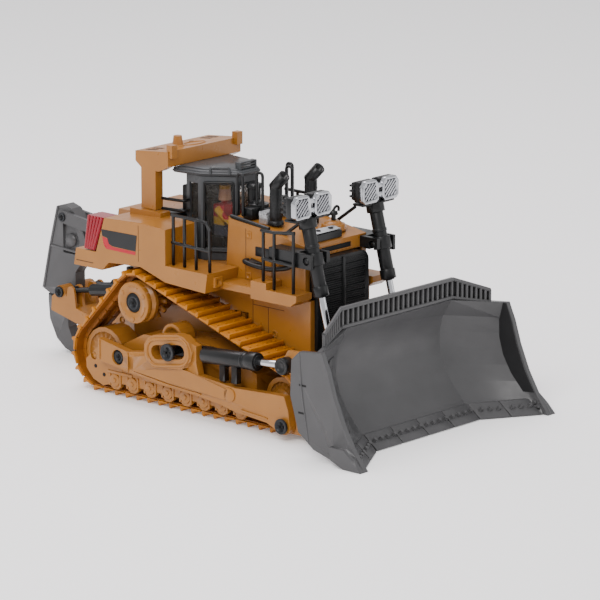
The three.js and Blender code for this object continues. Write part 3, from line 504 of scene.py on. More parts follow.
    def recess(self, obj: Piece, facing: Point, rim: float, depth: float) -> Piece:
        """Insets the faces that look one way, and sinks them.

        Args:
            obj: the piece.
            facing: the direction that the faces look in.
            rim: the width of the rim left round them.
            depth: how far they sink.

        Returns:
            The same piece.
        """
        way = Vector(facing).normalized()
        self.pick(obj)
        bpy.ops.object.mode_set(mode="EDIT")
        bpy.ops.mesh.select_mode(type="FACE")
        bpy.ops.mesh.select_all(action="DESELECT")
        bpy.ops.object.mode_set(mode="OBJECT")
        largest = max((f.area for f in obj.data.polygons if f.normal.dot(way) > 0.98), default=0.0)
        for face in obj.data.polygons:
            face.select = face.normal.dot(way) > 0.98 and face.area > largest * 0.5
        bpy.ops.object.mode_set(mode="EDIT")
        bpy.ops.mesh.inset(thickness=rim * MM, depth=0.0)
        bpy.ops.mesh.inset(thickness=depth * 0.25 * MM, depth=-depth * MM)
        bpy.ops.object.mode_set(mode="OBJECT")
        return obj

    def copies(self, master: Piece, moves: Sequence[Matrix], name: str) -> Piece:
        """Repeats a piece at several places, as one object, and removes the master.

        Args:
            master: the piece to repeat.
            moves: the place of each copy, relative to the master.
            name: the name of the whole.

        Returns:
            The joined copies.
        """
        made = []
        for move in moves:
            mesh = master.data.copy()
            mesh.transform(move)
            if move.determinant() < 0:
                mesh.flip_normals()
            made.append(linked(name, mesh))
        bpy.data.objects.remove(master)
        return self.joined(name, made)

    @staticmethod
    def joined(name: str, parts: Sequence[Piece]) -> Piece:
        """Joins several pieces of one finish into one object."""
        Bench.clear()
        for part in parts:
            part.select_set(True)
        bpy.context.view_layer.objects.active = parts[0]
        if len(parts) > 1:
            bpy.ops.object.join()
        whole = bpy.context.view_layer.objects.active
        whole.name = name
        return whole
def dress(piece: Piece, finish: Finish, body: str = "chassis") -> Piece:
    """Gives a piece its finish and the body that it rides on.

    Args:
        piece: the new piece.
        finish: its finish.
        body: the name of the body.

    Returns:
        The same piece.
    """
    piece.data.materials.clear()
    piece.data.materials.append(finish.material())
    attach(piece, body)
    LOG.info("%s on %s", piece.name, body)
    return piece
def fitted(name: str, parts: Sequence[Piece], finish: Finish, body: str = "chassis") -> Piece:
    """Joins the parts of a piece, and gives it its finish and its body.

    Args:
        name: the piece's name.
        parts: its parts.
        finish: its finish.
        body: the name of the body that it rides on.

    Returns:
        The piece.
    """
    return dress(Bench.joined(name, parts), finish, body)
def paint(node: str, finish: Finish) -> None:
    """Gives a part of the frame its finish, with its own mesh kept."""
    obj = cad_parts[node]
    for place in obj.material_slots:
        place.material = finish.material()
    if not obj.material_slots:
        obj.data.materials.append(finish.material())
    LOG.info("%s painted", node)


def smoothed(node: str, finish: Finish, body: str = "chassis", angle: float = 26.0) -> Piece:
    """Stands a welded, smooth-shaded casting in for a part with round surfaces.

    Args:
        node: the frame's part.
        finish: the casting's finish.
        body: the body that it rides on.
        angle: the sharpest angle that is still smoothed, in degrees.

    Returns:
        The casting.
    """
    piece = linked(f"{node}_casting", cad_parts[node].data.copy())
    Bench.pick(piece)
    bpy.ops.object.mode_set(mode="EDIT")
    bpy.ops.mesh.select_all(action="SELECT")
    bpy.ops.mesh.remove_doubles(threshold=0.002 * MM)
    bpy.ops.object.mode_set(mode="OBJECT")
    bpy.ops.object.shade_smooth_by_angle(angle=math.radians(angle))
    dress(piece, finish, body)
    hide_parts(node)
    return piece


# ---------------------------------------------------------------- stage


@dataclass
class Stage:
    """The pale floor, the soft lights and the camera."""

    target: Vector = field(default_factory=lambda: Vector((0.0, 0.0, 0.07)))
    camera_place: Point = (-1.88205, -1.74460, 0.68328)
    camera_heading: Point = (0.7216, 0.6509, -0.2358)
    camera_lens: float = 250.0
    floor_size: float = 12.0
    floor_height: float = -0.0002

    def build(self) -> None:
        """Sets the stage."""
        self.floor()
        self.lights()
        self.camera()

    def floor(self) -> None:
        """Lays the floor."""
        Bench.clear()
        place = (0.0, 0.0, self.floor_height)
        bpy.ops.mesh.primitive_plane_add(size=self.floor_size, location=place)
        floor = bpy.context.object
        floor.name = "floor"
        material = bpy.data.materials.new("floor_paper")
        material.use_nodes = True
        Tree.fix(material.node_tree.nodes["Principled BSDF"], {
            "Base Color": (0.95, 0.95, 0.95, 1.0), "Roughness": 0.9,
            "Emission Color": (1.0, 1.0, 1.0, 1.0), "Emission Strength": 0.17,
        })
        floor.data.materials.append(material)
        floor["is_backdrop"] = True

    def lights(self) -> None:
        """Hangs the soft boxes and sets the room's light."""
        world = bpy.data.worlds.new("studio")
        world.use_nodes = True
        Tree.fix(world.node_tree.nodes["Background"], {"Color": (1.0, 0.99, 1.0, 1.0), "Strength": 0.9})
        bpy.context.scene.world = world
        self.soft_box("key", (-1.2, -0.5, 1.2), 0.8, 20.0, (1.0, 0.98, 0.97))
        self.soft_box("top", (0.1, 0.5, 1.5), 1.0, 20.0, (1.0, 0.93, 0.97))
        self.soft_box("front", (0.9, -1.5, 0.6), 0.9, 3.0, (1.0, 1.0, 1.0))

    def soft_box(self, name: str, place: Point, size: float, power: float, colour: Point) -> None:
        """Hangs one square soft box that faces the machine.

        Args:
            name: the light's name.
            place: its place in metres.
            size: its width in metres.
            power: its power in watts.
            colour: its colour.
        """
        lamp = bpy.data.lights.new(name, "AREA")
        lamp.size = size
        lamp.energy = power
        lamp.color = colour
        obj = linked(name, lamp)
        obj.location = place
        obj.rotation_euler = (self.target - Vector(place)).to_track_quat("-Z", "Y").to_euler()

    def camera(self) -> None:
        """Places the camera with its long lens."""
        data = bpy.data.cameras.new("camera")
        data.lens = self.camera_lens
        data.sensor_width = 36.0
        data.clip_end = 30.0
        obj = linked("camera", data)
        obj.location = self.camera_place
        obj.rotation_euler = Vector(self.camera_heading).to_track_quat("-Z", "Y").to_euler()
        bpy.context.scene.camera = obj


# ---------------------------------------------------------------- tracks


@dataclass
class TrackRun:
    """A belt's round of shoes, with the wheels and frame inside it."""

    bench: Bench
    side: Side
    belt: Pair = (30.0, 60.0)
    shoes: int = 48
    grouser: float = 2.0
    rear: Point = (251.0, 24.0, 24.0)
    drive: Point = (219.0, 63.0, 21.0)
    front: Point = (98.0, 21.0, 21.0)

    def build(self) -> None:
        """Builds the belt, the wheels and the frame's fittings on one side."""
        tag, sign = self.side.tag, self.side.value
        self.belt_of_shoes()
        for wheel in (f"front_idler_{tag}", f"rear_idler_{tag}", f"sprocket_{tag}"):
            smoothed(wheel, OCHRE, wheel)
        smoothed(f"track_frame_{tag}", OCHRE, "chassis", 18.0)
        self.hub(sign)
        self.frame_fittings(sign)
        self.bogies(sign)

    def route(self) -> Iterator[tuple[float, float, float, float]]:
        """Yields each shoe's (station, height) and the direction of travel there."""
        wheels = [self.rear, self.drive, self.front]
        legs: list[tuple[float, Callable[[float], tuple[float, float, float, float]]]] = []
        leaves = []
        for wheel, after in zip(wheels, wheels[1:] + wheels[:1]):
            dy, dz = after[0] - wheel[0], after[1] - wheel[1]
            reach = math.hypot(dy, dz)
            leaves.append(math.atan2(dz, dy) - math.acos((wheel[2] - after[2]) / reach))
        for index, wheel in enumerate(wheels):
            after = wheels[(index + 1) % len(wheels)]
            arrive, leave = leaves[index - 1], leaves[index]
            sweep = (leave - arrive) % (2 * math.pi)
            radius = wheel[2] - self.grouser
            legs.append((radius * sweep, self.round_leg(wheel, radius, arrive)))
            start = (wheel[0] + radius * math.cos(leave), wheel[1] + radius * math.sin(leave))
            far = after[2] - self.grouser
            end = (after[0] + far * math.cos(leave), after[1] + far * math.sin(leave))
            legs.append((math.dist(start, end), self.straight_leg(start, end)))
        total = sum(length for length, _ in legs)
        for shoe in range(self.shoes):
            run = total * shoe / self.shoes
            for length, leg in legs:
                if run <= length:
                    yield leg(run)
                    break
                run -= length

    @staticmethod
    def round_leg(wheel: Point, radius: float, arrive: float) -> Callable[[float], tuple]:
        """Returns the place and heading along the belt's turn round a wheel."""
        def leg(run: float) -> tuple:
            """Returns the place and heading after a run along the turn."""
            angle = arrive + run / radius
            out = (math.cos(angle), math.sin(angle))
            return (wheel[0] + radius * out[0], wheel[1] + radius * out[1], -out[1], out[0])
        return leg

    @staticmethod
    def straight_leg(start: Pair, end: Pair) -> Callable[[float], tuple]:
        """Returns the place and heading along a straight stretch of belt."""
        length = math.dist(start, end)
        way = ((end[0] - start[0]) / length, (end[1] - start[1]) / length)

        def leg(run: float) -> tuple:
            """Returns the place and heading after a run along the stretch."""
            return (start[0] + way[0] * run, start[1] + way[1] * run, way[0], way[1])
        return leg

    def shoe(self, pitch: float) -> Piece:
        """Models one shoe at the frame's corner, travelling towards +station.

        Args:
            pitch: the distance between shoes.

        Returns:
            The shoe with its grouser and link lugs.
        """
        inner, outer = self.belt
        half, crest = pitch / 2, self.grouser
        plate = [
            (0.7 - half, -1.4), (half - 0.4, -1.4), (half - 0.4, 0.0), (half - 0.9, crest),
            (half - 2.2, crest), (half - 3.0, 0.2), (0.9 - half, -0.3),
        ]
        parts = [self.bench.side_plate("plate", plate, (inner, outer), 0.2)]
        for x in (inner + 4, inner + 11, outer - 11, outer - 4):
            parts.append(self.bench.post("bolt", (x, -0.9), (-0.6, 0.5), 0.8, sides=6, edge=0))
        return self.bench.joined("shoe", parts)

    def link(self, pitch: float) -> Piece:
        """Models one link: the chain's two rails below the shoe, and the web between.

        Args:
            pitch: the distance between links.

        Returns:
            The link.
        """
        inner, outer = self.belt
        half = pitch / 2
        web = [(-half - 0.1, -2.2), (half + 0.1, -2.2), (half + 0.1, -1.2), (-half - 0.1, -1.2)]
        lug = [(0.6 - half, -4.4), (half - 0.4, -4.4), (half + 0.2, -2.0), (0.2 - half, -2.0)]
        parts = [self.bench.side_plate("web", web, (inner + 1.0, outer - 1.0), 0.0)]
        for x in (inner + 7.5, outer - 11.5):
            parts.append(self.bench.side_plate("lug", lug, (x, x + 4.0), 0.2))
        return self.bench.joined("link", parts)

    def belt_of_shoes(self) -> None:
        """Lays the shoes along the belt's route."""
        places = list(self.route())
        pitch = math.dist(places[3][:2], places[4][:2])
        start = self.bench.at((0, 0, 0))
        moves = []
        for y, z, ty, tz in places:
            turn = Matrix(((1, 0, 0, 0), (0, ty, tz, 0), (0, tz, -ty, 0), (0, 0, 0, 1)))
            place = Matrix.Translation(self.bench.at((0, y, z)))
            moves.append(place @ turn @ Matrix.Translation(-start))
        shoes = self.laid(self.shoe(pitch), moves, f"shoe_belt_{self.side.tag}", TRACK)
        self.laid(self.link(pitch), moves, f"link_chain_{self.side.tag}", LINK)
        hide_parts(f"track_belt_{self.side.tag}")

    def laid(self, master: Piece, moves: list[Matrix], name: str, finish: Finish) -> Piece:
        """Lays copies of one shoe or link round the belt, on the run's own side.

        Args:
            master: the shoe or link at the frame's corner.
            moves: where each copy goes.
            name: the whole piece's name.
            finish: its finish.

        Returns:
            The whole piece.
        """
        whole = self.bench.copies(master, moves, name)
        if self.side is Side.RIGHT:
            whole.data.transform(Matrix.Scale(-1.0, 4, Vector((1.0, 0.0, 0.0))))
            whole.data.flip_normals()
        return dress(whole, finish)

    def hub(self, sign: int) -> None:
        """Models the final drive's face: a stepped disc, its marks and its dark screw."""
        y, z, _ = self.drive
        bench, tag = self.bench, self.side.tag
        body = f"sprocket_{tag}"
        face = bench.disc("face", (sign * 56, sign * 60.2), (y, z), 13.4, 56, 0.7)
        bench.recess(face, (sign, 0, 0), 6.0, 0.9)
        marks = [face]
        for turn in map(math.radians, (30, 150, 270)):
            spot = (y + 10.4 * math.cos(turn), z + 10.4 * math.sin(turn))
            marks.append(bench.disc("stud", (sign * 60, sign * 60.7), spot, 1.5, 20, 0.2))
        for angle in (90, 210, 330):
            turns = [math.radians(angle + step) for step in range(-22, 23, 11)]
            arc = [(sign * 60.2, y + 10.6 * math.cos(turn), z + 10.6 * math.sin(turn)) for turn in turns]
            marks.append(bench.tube("arc", arc, 0.45, 1.0))
        fitted(f"hub_face_{tag}", marks, OCHRE, body)
        # The well round the screw is a disc of painted shade.
        dress(bench.disc(f"hub_well_{tag}", (sign * 57, sign * 59.8), (y, z), 6.2, 40, 0.2), RECESS_SHADE, body)
        self.screw(f"hub_screw_{tag}", (sign * 60.1, y, z), sign, 4.6, body)

    def screw(self, name: str, centre: Point, sign: int, radius: float, body: str) -> None:
        """Sets a cross-head screw into the machine's flank.

        Args:
            name: the screw's name.
            centre: the middle of its outer face.
            sign: the way that its head looks along x.
            radius: the head's radius.
            body: the body that it rides on.
        """
        x, y, z = centre
        bench = self.bench
        head = bench.disc(name, (x - sign * 1.6, x), (y, z), radius, 32, 0.4)
        dress(bench.recess(head, (sign, 0, 0), radius * 0.22, 0.25), SCREW, body)
        # The cross is two bars of painted shade, standing for the dark slots in the head.
        low, high = sorted((x - sign * 0.6, x))
        long, short = radius * 0.5, radius * 0.14
        bars = [bench.slab("bar", (low, y - a, z - b), (high, y + a, z + b), 0.1)
                for a, b in ((long, short), (short, long))]
        fitted(f"{name}_cross", bars, RECESS_SHADE, body)

    def frame_fittings(self, sign: int) -> None:
        """Adds the pin marks and the small rings of the track frame."""
        bench, tag = self.bench, self.side.tag
        # The pin holes are dark discs of painted shade.
        holes = [bench.disc("hole", (sign * 63.0, sign * 63.45), spot, 1.3, 20, 0.1)
                 for spot in ((249.5, 17.5), (242.0, 13.0))]
        fitted(f"guard_holes_{tag}", holes, RECESS_SHADE)
        rings = []
        for spot, radius in (((185, 46.5), 8.2), ((140, 38), 3.5)):
            ring = bench.disc("ring", (sign * 57.5, sign * 60.3), spot, radius, 36, 0.4)
            rings.append(bench.recess(ring, (sign, 0, 0), 1.8, 2.2))
        fitted(f"carrier_rings_{tag}", rings, OCHRE)

    def bogies(self, sign: int) -> None:
        """Adds the raised round faces and small marks of the roller bogies."""
        bench = self.bench
        parts = []
        low, high = sorted((sign * 62.9, sign * 64.0))
        for index in range(8):
            y = 232 - 15.4 * index
            parts.append(bench.disc("roller", (sign * 62.8, sign * 64.3), (y, 11.2), 4.2, 24, 0.5))
            parts.append(bench.disc("pin", (sign * 64.0, sign * 64.9), (y, 11.2), 1.5, 16, 0.2))
            for step in (-5.4, 3.8):
                parts.append(bench.slab("lip", (low, y + step, 7.2), (high, y + step + 1.6, 15.5), 0.3))
        low, high = sorted((sign * 62.9, sign * 63.9))
        for index in range(4):
            y = 216.6 - 30.8 * index
            parts.append(bench.slab("cradle", (low, y, 15.0), (high, y + 22.0, 17.2), 0.4))
        fitted(f"roller_bogies_{self.side.tag}", parts, OCHRE)


# ---------------------------------------------------------------- push arms and tilt struts


@dataclass
class PushArm:
    """One push arm with its screws, and the dummy tilt strut above it."""

    bench: Bench
    run: TrackRun
    pivot: Pair = (224.3, 28.4)
    nose: Pair = (83.0, 9.5)
    eye: Pair = (83.5, 47.0)
    bolt: Pair = (177.1, 40.3)

    def build(self) -> None:
        """Builds the arm's and the strut's castings and fittings."""
        tag, sign = self.run.side.tag, self.run.side.value
        smoothed(f"push_arm_{tag}", OCHRE, "push_arms", 16.0)
        smoothed(f"blade_bracket_{tag}", OCHRE, "blade")
        smoothed(f"tilt_strut_{tag}", BLACK, f"tilt_strut_{tag}")
        self.arm_details(tag, sign)
        self.strut_details(tag, sign)

    def arm_details(self, tag: str, sign: int) -> None:
        """Adds the pivot ring, round tab and ribs of the arm."""
        bench = self.bench
        well = bench.disc(f"pivot_well_{tag}", (sign * 66.0, sign * 67.7), self.pivot, 4.9, 32, 0.1)
        dress(well, RECESS_SHADE, "push_arms")
        self.run.screw(f"pivot_screw_{tag}", (sign * 68.4, *self.pivot), sign, 3.7, "push_arms")
        tab = bench.disc("tab", (sign * 66.0, sign * 70.0), (127.6, 21.2), 4.6, 32, 0.6)
        low, high = sorted((sign * 68.9, sign * 69.6))
        ribs = [bench.side_plate("rib", outline, (low, high), 0.2) for outline in (
            [(240.6, 24.6), (239.6, 24.6), (239.6, 37.0), (240.6, 37.4)],
            [(118, 12.6), (96, 11.2), (96, 12.2), (118, 13.6)],
            [(215.6, 20.6), (214.6, 20.4), (214.6, 33.0), (215.6, 33.2)],
            [(210, 20.9), (182, 17.9), (152, 16.5), (152, 17.6), (182, 19.0), (210, 22.0)],
        )]
        fitted(f"arm_ribs_{tag}", [tab, *ribs], OCHRE, "push_arms")
        self.slot_rim(tag, sign)

    def slot_rim(self, tag: str, sign: int) -> None:
        """Raises the rim round the bolt's slot."""
        rear, front, radius = (188.5, 38.2), (169.0, 41.5), 8.4
        lean = math.atan2(front[1] - rear[1], front[0] - rear[0])
        path = []
        for (y, z), base in ((front, -90), (rear, 90)):
            for step in range(0, 181, 20):
                turn = lean + math.radians(base + step)
                path.append((sign * 70.8, y + radius * math.cos(turn), z + radius * math.sin(turn)))
        path.append(path[0])
        dress(self.bench.tube(f"slot_rim_{tag}", path, 1.1, 0.6), OCHRE, "push_arms")

    def strut_details(self, tag: str, sign: int) -> None:
        """Adds the strut's bright rod, its gland rings and its bolt heads."""
        bench, body = self.bench, f"tilt_strut_{tag}"
        slope = (self.bolt[1] - self.eye[1]) / (self.bolt[0] - self.eye[0])

        def on_axis(y: float) -> Point:
            """Returns the point of the strut's axis at a station."""
            return (sign * 66.2, y, self.eye[1] + (y - self.eye[0]) * slope)
        def ring(name: str, rear: float, front: float, radius: float, sides: int, edge: float) -> Piece:
            """Makes a round bar along the strut between two stations."""
            return bench.rod(name, on_axis(rear), on_axis(front), radius, sides=sides, edge=edge)

        dress(ring(f"tilt_rod_{tag}", 107.0, 89.5, 2.35, 24, 0.1), CHROME, body)
        barrel = [
            ring("barrel", 151.0, 112.0, 5.15, 36, 0.3), ring("gland", 114.4, 106.2, 5.8, 36, 0.7),
            ring("ring", 118.0, 116.4, 5.6, 36, 0.4), ring("lip", 106.6, 105.6, 4.0, 30, 0.3),
        ]
        fitted(f"tilt_barrel_{tag}", barrel, BLACK, body)
        self.run.screw(f"slot_bolt_{tag}", (sign * 73.6, *self.bolt), sign, 5.6, body)
        cap = bench.disc(f"strut_eye_{tag}", (sign * 64.2, sign * 71.0), self.eye, 5.3, 36, 0.7)
        dress(bench.recess(cap, (sign, 0, 0), 1.2, 0.4), BLACK, body)
        self.run.screw(f"nose_bolt_{tag}", (sign * 72.0, *self.nose), sign, 4.9, "push_arms")


# ---------------------------------------------------------------- blade


@dataclass
class Blade:
    """The moldboard's finish, its cutting edges and bolts, and the barred guard."""

    bench: Bench
    centre_half: float = 48.6
    guard_half: float = 52.5
    guard_end: float = 78.0

    def build(self) -> None:
        """Builds the blade's visible pieces."""
        smoothed("blade", BLADE_GREY, "blade", 16.0)
        self.cutting_edges()
        self.end_bits()
        self.guard()
        self.flank_marks()
        self.cheek_shades()

    def edge_plate(self, inner: Point, outer: Point, rise: float) -> Piece:
        """Models one cutting edge plate between two points of the blade's lower edge.

        Args:
            inner: the lower edge at its inner end.
            outer: the lower edge at its outer end.
            rise: the height of the plate.

        Returns:
            The plate.
        """
        run = rise * 1.36
        ring = [
            (inner[0], inner[1] - 1.2, 0.4), (inner[0], inner[1] + 2.2, 0.4),
            (inner[0], inner[1] + run + 2.0, rise), (inner[0], inner[1] + run - 2.0, rise),
        ]
        way = (outer[0] - inner[0], outer[1] - inner[1], 0.0)
        return self.bench.prism("edge", ring, way, 0.25)

    def cutting_edges(self) -> None:
        """Lays the cutting edge in segments, with a row of bolts along each."""
        plates, bolts = [], []
        for index in range(4):
            x0 = -self.centre_half + 0.5 + index * 24.3
            plates.append(self.edge_plate((x0, 26, 0), (x0 + 23.6, 26, 0), 8.6))
            for step in (3.0, 9.0, 15.0, 21.0):
                bolts.append(self.bolt((x0 + step, 30.6, 5.0)))
        for sign in (1, -1):
            for start, end in ((0.02, 0.48), (0.5, 0.95)):
                inner = (sign * (48.8 + 37.0 * start), 26 - 22.4 * start, 0)
                outer = (sign * (48.8 + 37.0 * end), 26 - 22.4 * end, 0)
                plates.append(self.edge_plate(inner, outer, 8.6))
                for share in (0.2, 0.5, 0.8):
                    x = inner[0] + (outer[0] - inner[0]) * share
                    y = inner[1] + (outer[1] - inner[1]) * share
                    bolts.append(self.bolt((x, y + 4.6, 5.0)))
        fitted("cutting_edges", plates, BLADE_GREY, "blade")
        fitted("edge_bolts", bolts, BLADE_GREY, "blade")

    def bolt(self, place: Point) -> Piece:
        """Models one plough bolt's head on the cutting edge."""
        x, y, z = place
        foot, head = (x, y + 1.0, z - 1.4), (x, y - 1.5, z + 1.8)
        return self.bench.rod("bolt", foot, head, 1.5, 1.1, sides=16, edge=0.0)

    def guard(self) -> None:
        """Builds the guard: two rails and rows of bars, on the centre and both wings."""
        bench, half, end = self.bench, self.guard_half, self.guard_end
        parts = [
            bench.slab("rail", (-half, 49.6, 84.2), (half, 52.4, 86.5), 0.5),
            bench.slab("rail", (-half, 49.6, 72.6), (half, 52.4, 75.0), 0.5),
        ]
        for index in range(23):
            x = -half + 1.2 + index * (2 * half - 2.4) / 22
            parts.append(bench.slab("bar", (x - 0.85, 50.1, 74.6), (x + 0.85, 51.9, 85.0), 0.3))
        for sign in (1, -1):
            top = [(sign * half, 51, 85.3), (sign * end, 42, 75.4)]
            low = [(sign * half, 51, 73.4), (sign * end, 42, 67.6)]
            parts += [bench.tube("rail", path, 1.25, 0.5) for path in (top, low)]
            for index in range(1, 9):
                share = index / 8
                x, y = sign * (half + (end - half) * share), 51 - 9 * share
                foot, head = (x, y, 74.4 - 7.4 * share), (x, y, 85.3 - 9.9 * share)
                parts.append(bench.rod("bar", foot, head, 0.95, sides=10, edge=0.0))
        whole = fitted("guard_bars", parts, BLADE_GREY, "blade")
        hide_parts("blade_guard")
        # A backing plate behind the bars, near black with painted shade, which also fills the gap down to
        # the blade's top.
        backs = [bench.slab("back", (-half, 51.6, 71.8), (half, 52.4, 85.4), 0.1)]
        for sign in (1, -1):
            ring = [(sign * half, 51.8, 71.8), (sign * half, 51.8, 85.2), (sign * end, 42.8, 75.2),
                    (sign * end, 42.8, 65.8)]
            backs.append(bench.prism("back", ring, (0.0, 0.7, 0.0), 0.05))
        fitted("guard_back_shade", backs, RECESS_SHADE, "blade")

    def end_bits(self) -> None:
        """Sets the raised corner blocks at the two ends of the cutting edge."""
        blocks = []
        for sign in (1, -1):
            for x, y, z in ((84.6, 8.6, 5.0), (88.8, 7.8, 5.0), (84.6, 11.4, 7.4), (88.8, 10.6, 7.4)):
                low, high = (sign * x - 1.3, y - 2.6, z - 1.0), (sign * x + 1.3, y, z + 1.0)
                blocks.append(self.bench.slab("block", low, high, 0.3))
        fitted("end_bit_blocks", blocks, BLADE_GREY, "blade")

    def cheek_shades(self) -> None:
        """Lines the inner faces of the end plates, in front of the moldboard, with painted shade."""
        front = [(34.6, 66.4), (30.4, 56.0), (26.2, 42.0), (19.4, 26.0), (11.4, 13.0)]
        bow = []
        for step in range(6):
            t = 0.2 + 0.16 * step
            y = 3.6 * (1 - t) ** 2 + 102 * t * (1 - t) + 37 * t * t
            bow.append((y, 60 * t * (1 - t) + 66.8 * t * t))
        plates = [self.bench.side_plate("cheek", front + bow, x, 0.0)
                  for x in ((84.9, 85.4), (-85.4, -84.9))]
        fitted("blade_cheek_shades", plates, CHEEK_SHADE, "blade")

    def flank_marks(self) -> None:
        """Adds the small slits, dark with painted shade, and the fold line on the end plates."""
        bench = self.bench
        parts, slits = [], []
        for sign in (1, -1):
            for y, z in ((47.4, 27.0), (46.8, 44.2)):
                low, high = sorted((sign * 88.3, sign * 88.75))
                slits.append(bench.slab("slit", (low, y, z), (high, y + 5.6, z + 1.1), 0.0))
            path = [(sign * 88.4, 52.2, 65.0), (sign * 88.7, 50.2, 40.0), (sign * 88.4, 44.6, 10.0)]
            parts.append(bench.tube("fold", path, 0.5, 8.0))
        fitted("blade_flank_folds", parts, BLADE_GREY, "blade")
        fitted("blade_flank_slits", slits, RECESS_SHADE, "blade")


# ---------------------------------------------------------------- lift cylinders and lamps


@dataclass
class LiftCylinder:
    """A lift cylinder with its bright rod and the twin work lamps on its top."""

    bench: Bench
    side: Side
    half: float = 31.5
    eye: Pair = (75.0, 44.0)
    trunnion: Pair = (91.2, 106.0)
    lamp_step: float = 9.4

    def along(self, distance: float) -> Point:
        """Returns the point of the axis at a distance below the trunnion."""
        dy, dz = self.eye[0] - self.trunnion[0], self.eye[1] - self.trunnion[1]
        reach = math.hypot(dy, dz)
        return (self.side.value * self.half, self.trunnion[0] + dy / reach * distance,
                self.trunnion[1] + dz / reach * distance)

    def build(self) -> None:
        """Builds the cylinder, rod, bracket and lamps."""
        tag, body = self.side.tag, f"lift_barrel_{self.side.tag}"
        self.rod_and_eye(tag)
        smoothed(f"lift_barrel_{tag}", BLACK, body)
        paint(f"trunnion_bracket_{tag}", BLACK)
        bench = self.bench
        rings = [
            bench.sleeve(name, self.along(start), self.along(end), radius, 2.7)
            for name, start, end, radius in (
                ("skin", -22.5, 20.0, 4.3), ("gland", 16.8, 22.9, 4.9), ("collar", -3.8, 3.8, 5.8),
                ("band", -9.0, -7.0, 4.7), ("neck", -25.4, -19.5, 5.8), ("lip", 22.6, 23.6, 3.6))
        ]
        x = self.side.value * self.half
        blocks = [("tray", 5.6, (94.0, 102.6), (130.3, 131.9), 0.5),
                  ("case", 7.1, (95.2, 100.8), (132.6, 146.2), 1.4),
                  ("back", 6.0, (99.6, 103.6), (133.6, 145.2), 1.0)]
        for z in (135.6, 135.6 + 3.4, 135.6 + 3.4 * 2):
            blocks.append(("fin", 6.8, (100.6, 104.4), (z, z + 1.3), 0.3))
        for middle in (x - self.lamp_step, x + self.lamp_step):
            for name, wide, y, z, edge in blocks:
                low, high = (middle - wide, y[0], z[0]), (middle + wide, y[1], z[1])
                rings.append(bench.slab(name, low, high, edge))
        fitted(f"cylinder_dress_{tag}", rings, BLACK, body)
        self.lamps(tag, x, body)

    def rod_and_eye(self, tag: str) -> None:
        """Turns the bright rod, and the dark clevis eye at its foot.

        Args:
            tag: the side's name.
        """
        bench, body = self.bench, f"lift_rod_{tag}"
        reach = math.dist(self.eye, self.trunnion)
        start, end = self.along(20.0), self.along(reach - 3.0)
        rod = bench.rod(f"bright_rod_{tag}", start, end, 2.2, sides=28, edge=0.1)
        dress(rod, CHROME, body)
        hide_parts(f"lift_rod_{tag}")
        x, (y, z) = self.side.value * self.half, self.eye
        eye = [
            bench.rod("eye", (x - 3.0, y, z), (x + 3.0, y, z), 3.6, sides=30, edge=0.4),
            bench.rod("collar", self.along(reach - 6.5), self.along(reach - 2.5), 2.9, sides=28, edge=0.3),
        ]
        fitted(f"rod_eye_{tag}", eye, BLACK, body)

    def lamps(self, tag: str, x: float, body: str) -> None:
        """Models the two bright housings, their lenses and the waist between them."""
        bench = self.bench
        shells, lenses, slats = [], [], []
        for middle in (x - self.lamp_step, x + self.lamp_step):
            shells.append(self.housing(middle))
            lenses.append(bench.slab("lens", (middle - 5.9, 92.9, 133.8), (middle + 5.9, 94.4, 144.9), 0.5))
            for rise in (-8.4, -5.6, -2.8, 0.0, 2.8, 5.6, 8.4):
                left, right = max(-5.2, -5.0 - rise), min(5.2, 5.0 - rise)
                start = (middle + left, 92.7, 139.4 + left + rise)
                end = (middle + right, 92.7, 139.4 + right + rise)
                slats.append(bench.rod("slat", start, end, 0.55, sides=8, edge=0.0))
        for z in (135.2, 140.8):
            shells.append(bench.slab("waist", (x - 3.4, 92.6, z), (x + 3.4, 99.0, z + 3.0), 0.7))
        shells.append(bench.rod("stem", (x, 97.0, 131.0), (x, 97.0, 137.0), 2.6, sides=20, edge=0.4))
        whole = fitted(f"lamp_housings_{tag}", shells, LAMP_SHELL, body)
        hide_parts(f"work_lamps_{tag}")
        fitted(f"lamp_lenses_{tag}", lenses, LENS, body)
        fitted(f"lamp_slats_{tag}", slats, CHROME, body)

    def housing(self, x: float) -> Piece:
        """Models one housing: a chamfered box whose front is sunk behind a rim."""
        low, high, front = 132.1, 146.7, 92.0
        outline = [(x + step, front, z) for step, z in (
            (-7.6, low + 2.2), (-5.4, low), (5.4, low), (7.6, low + 2.2),
            (7.6, high - 3.4), (4.8, high), (-4.8, high), (-7.6, high - 3.4),
        )]
        shell = self.bench.prism("housing", outline, (0.0, 3.4, 0.0), 0.5)
        return self.bench.recess(shell, (0, -1, 0), 1.1, 1.0)


# ---------------------------------------------------------------- hood


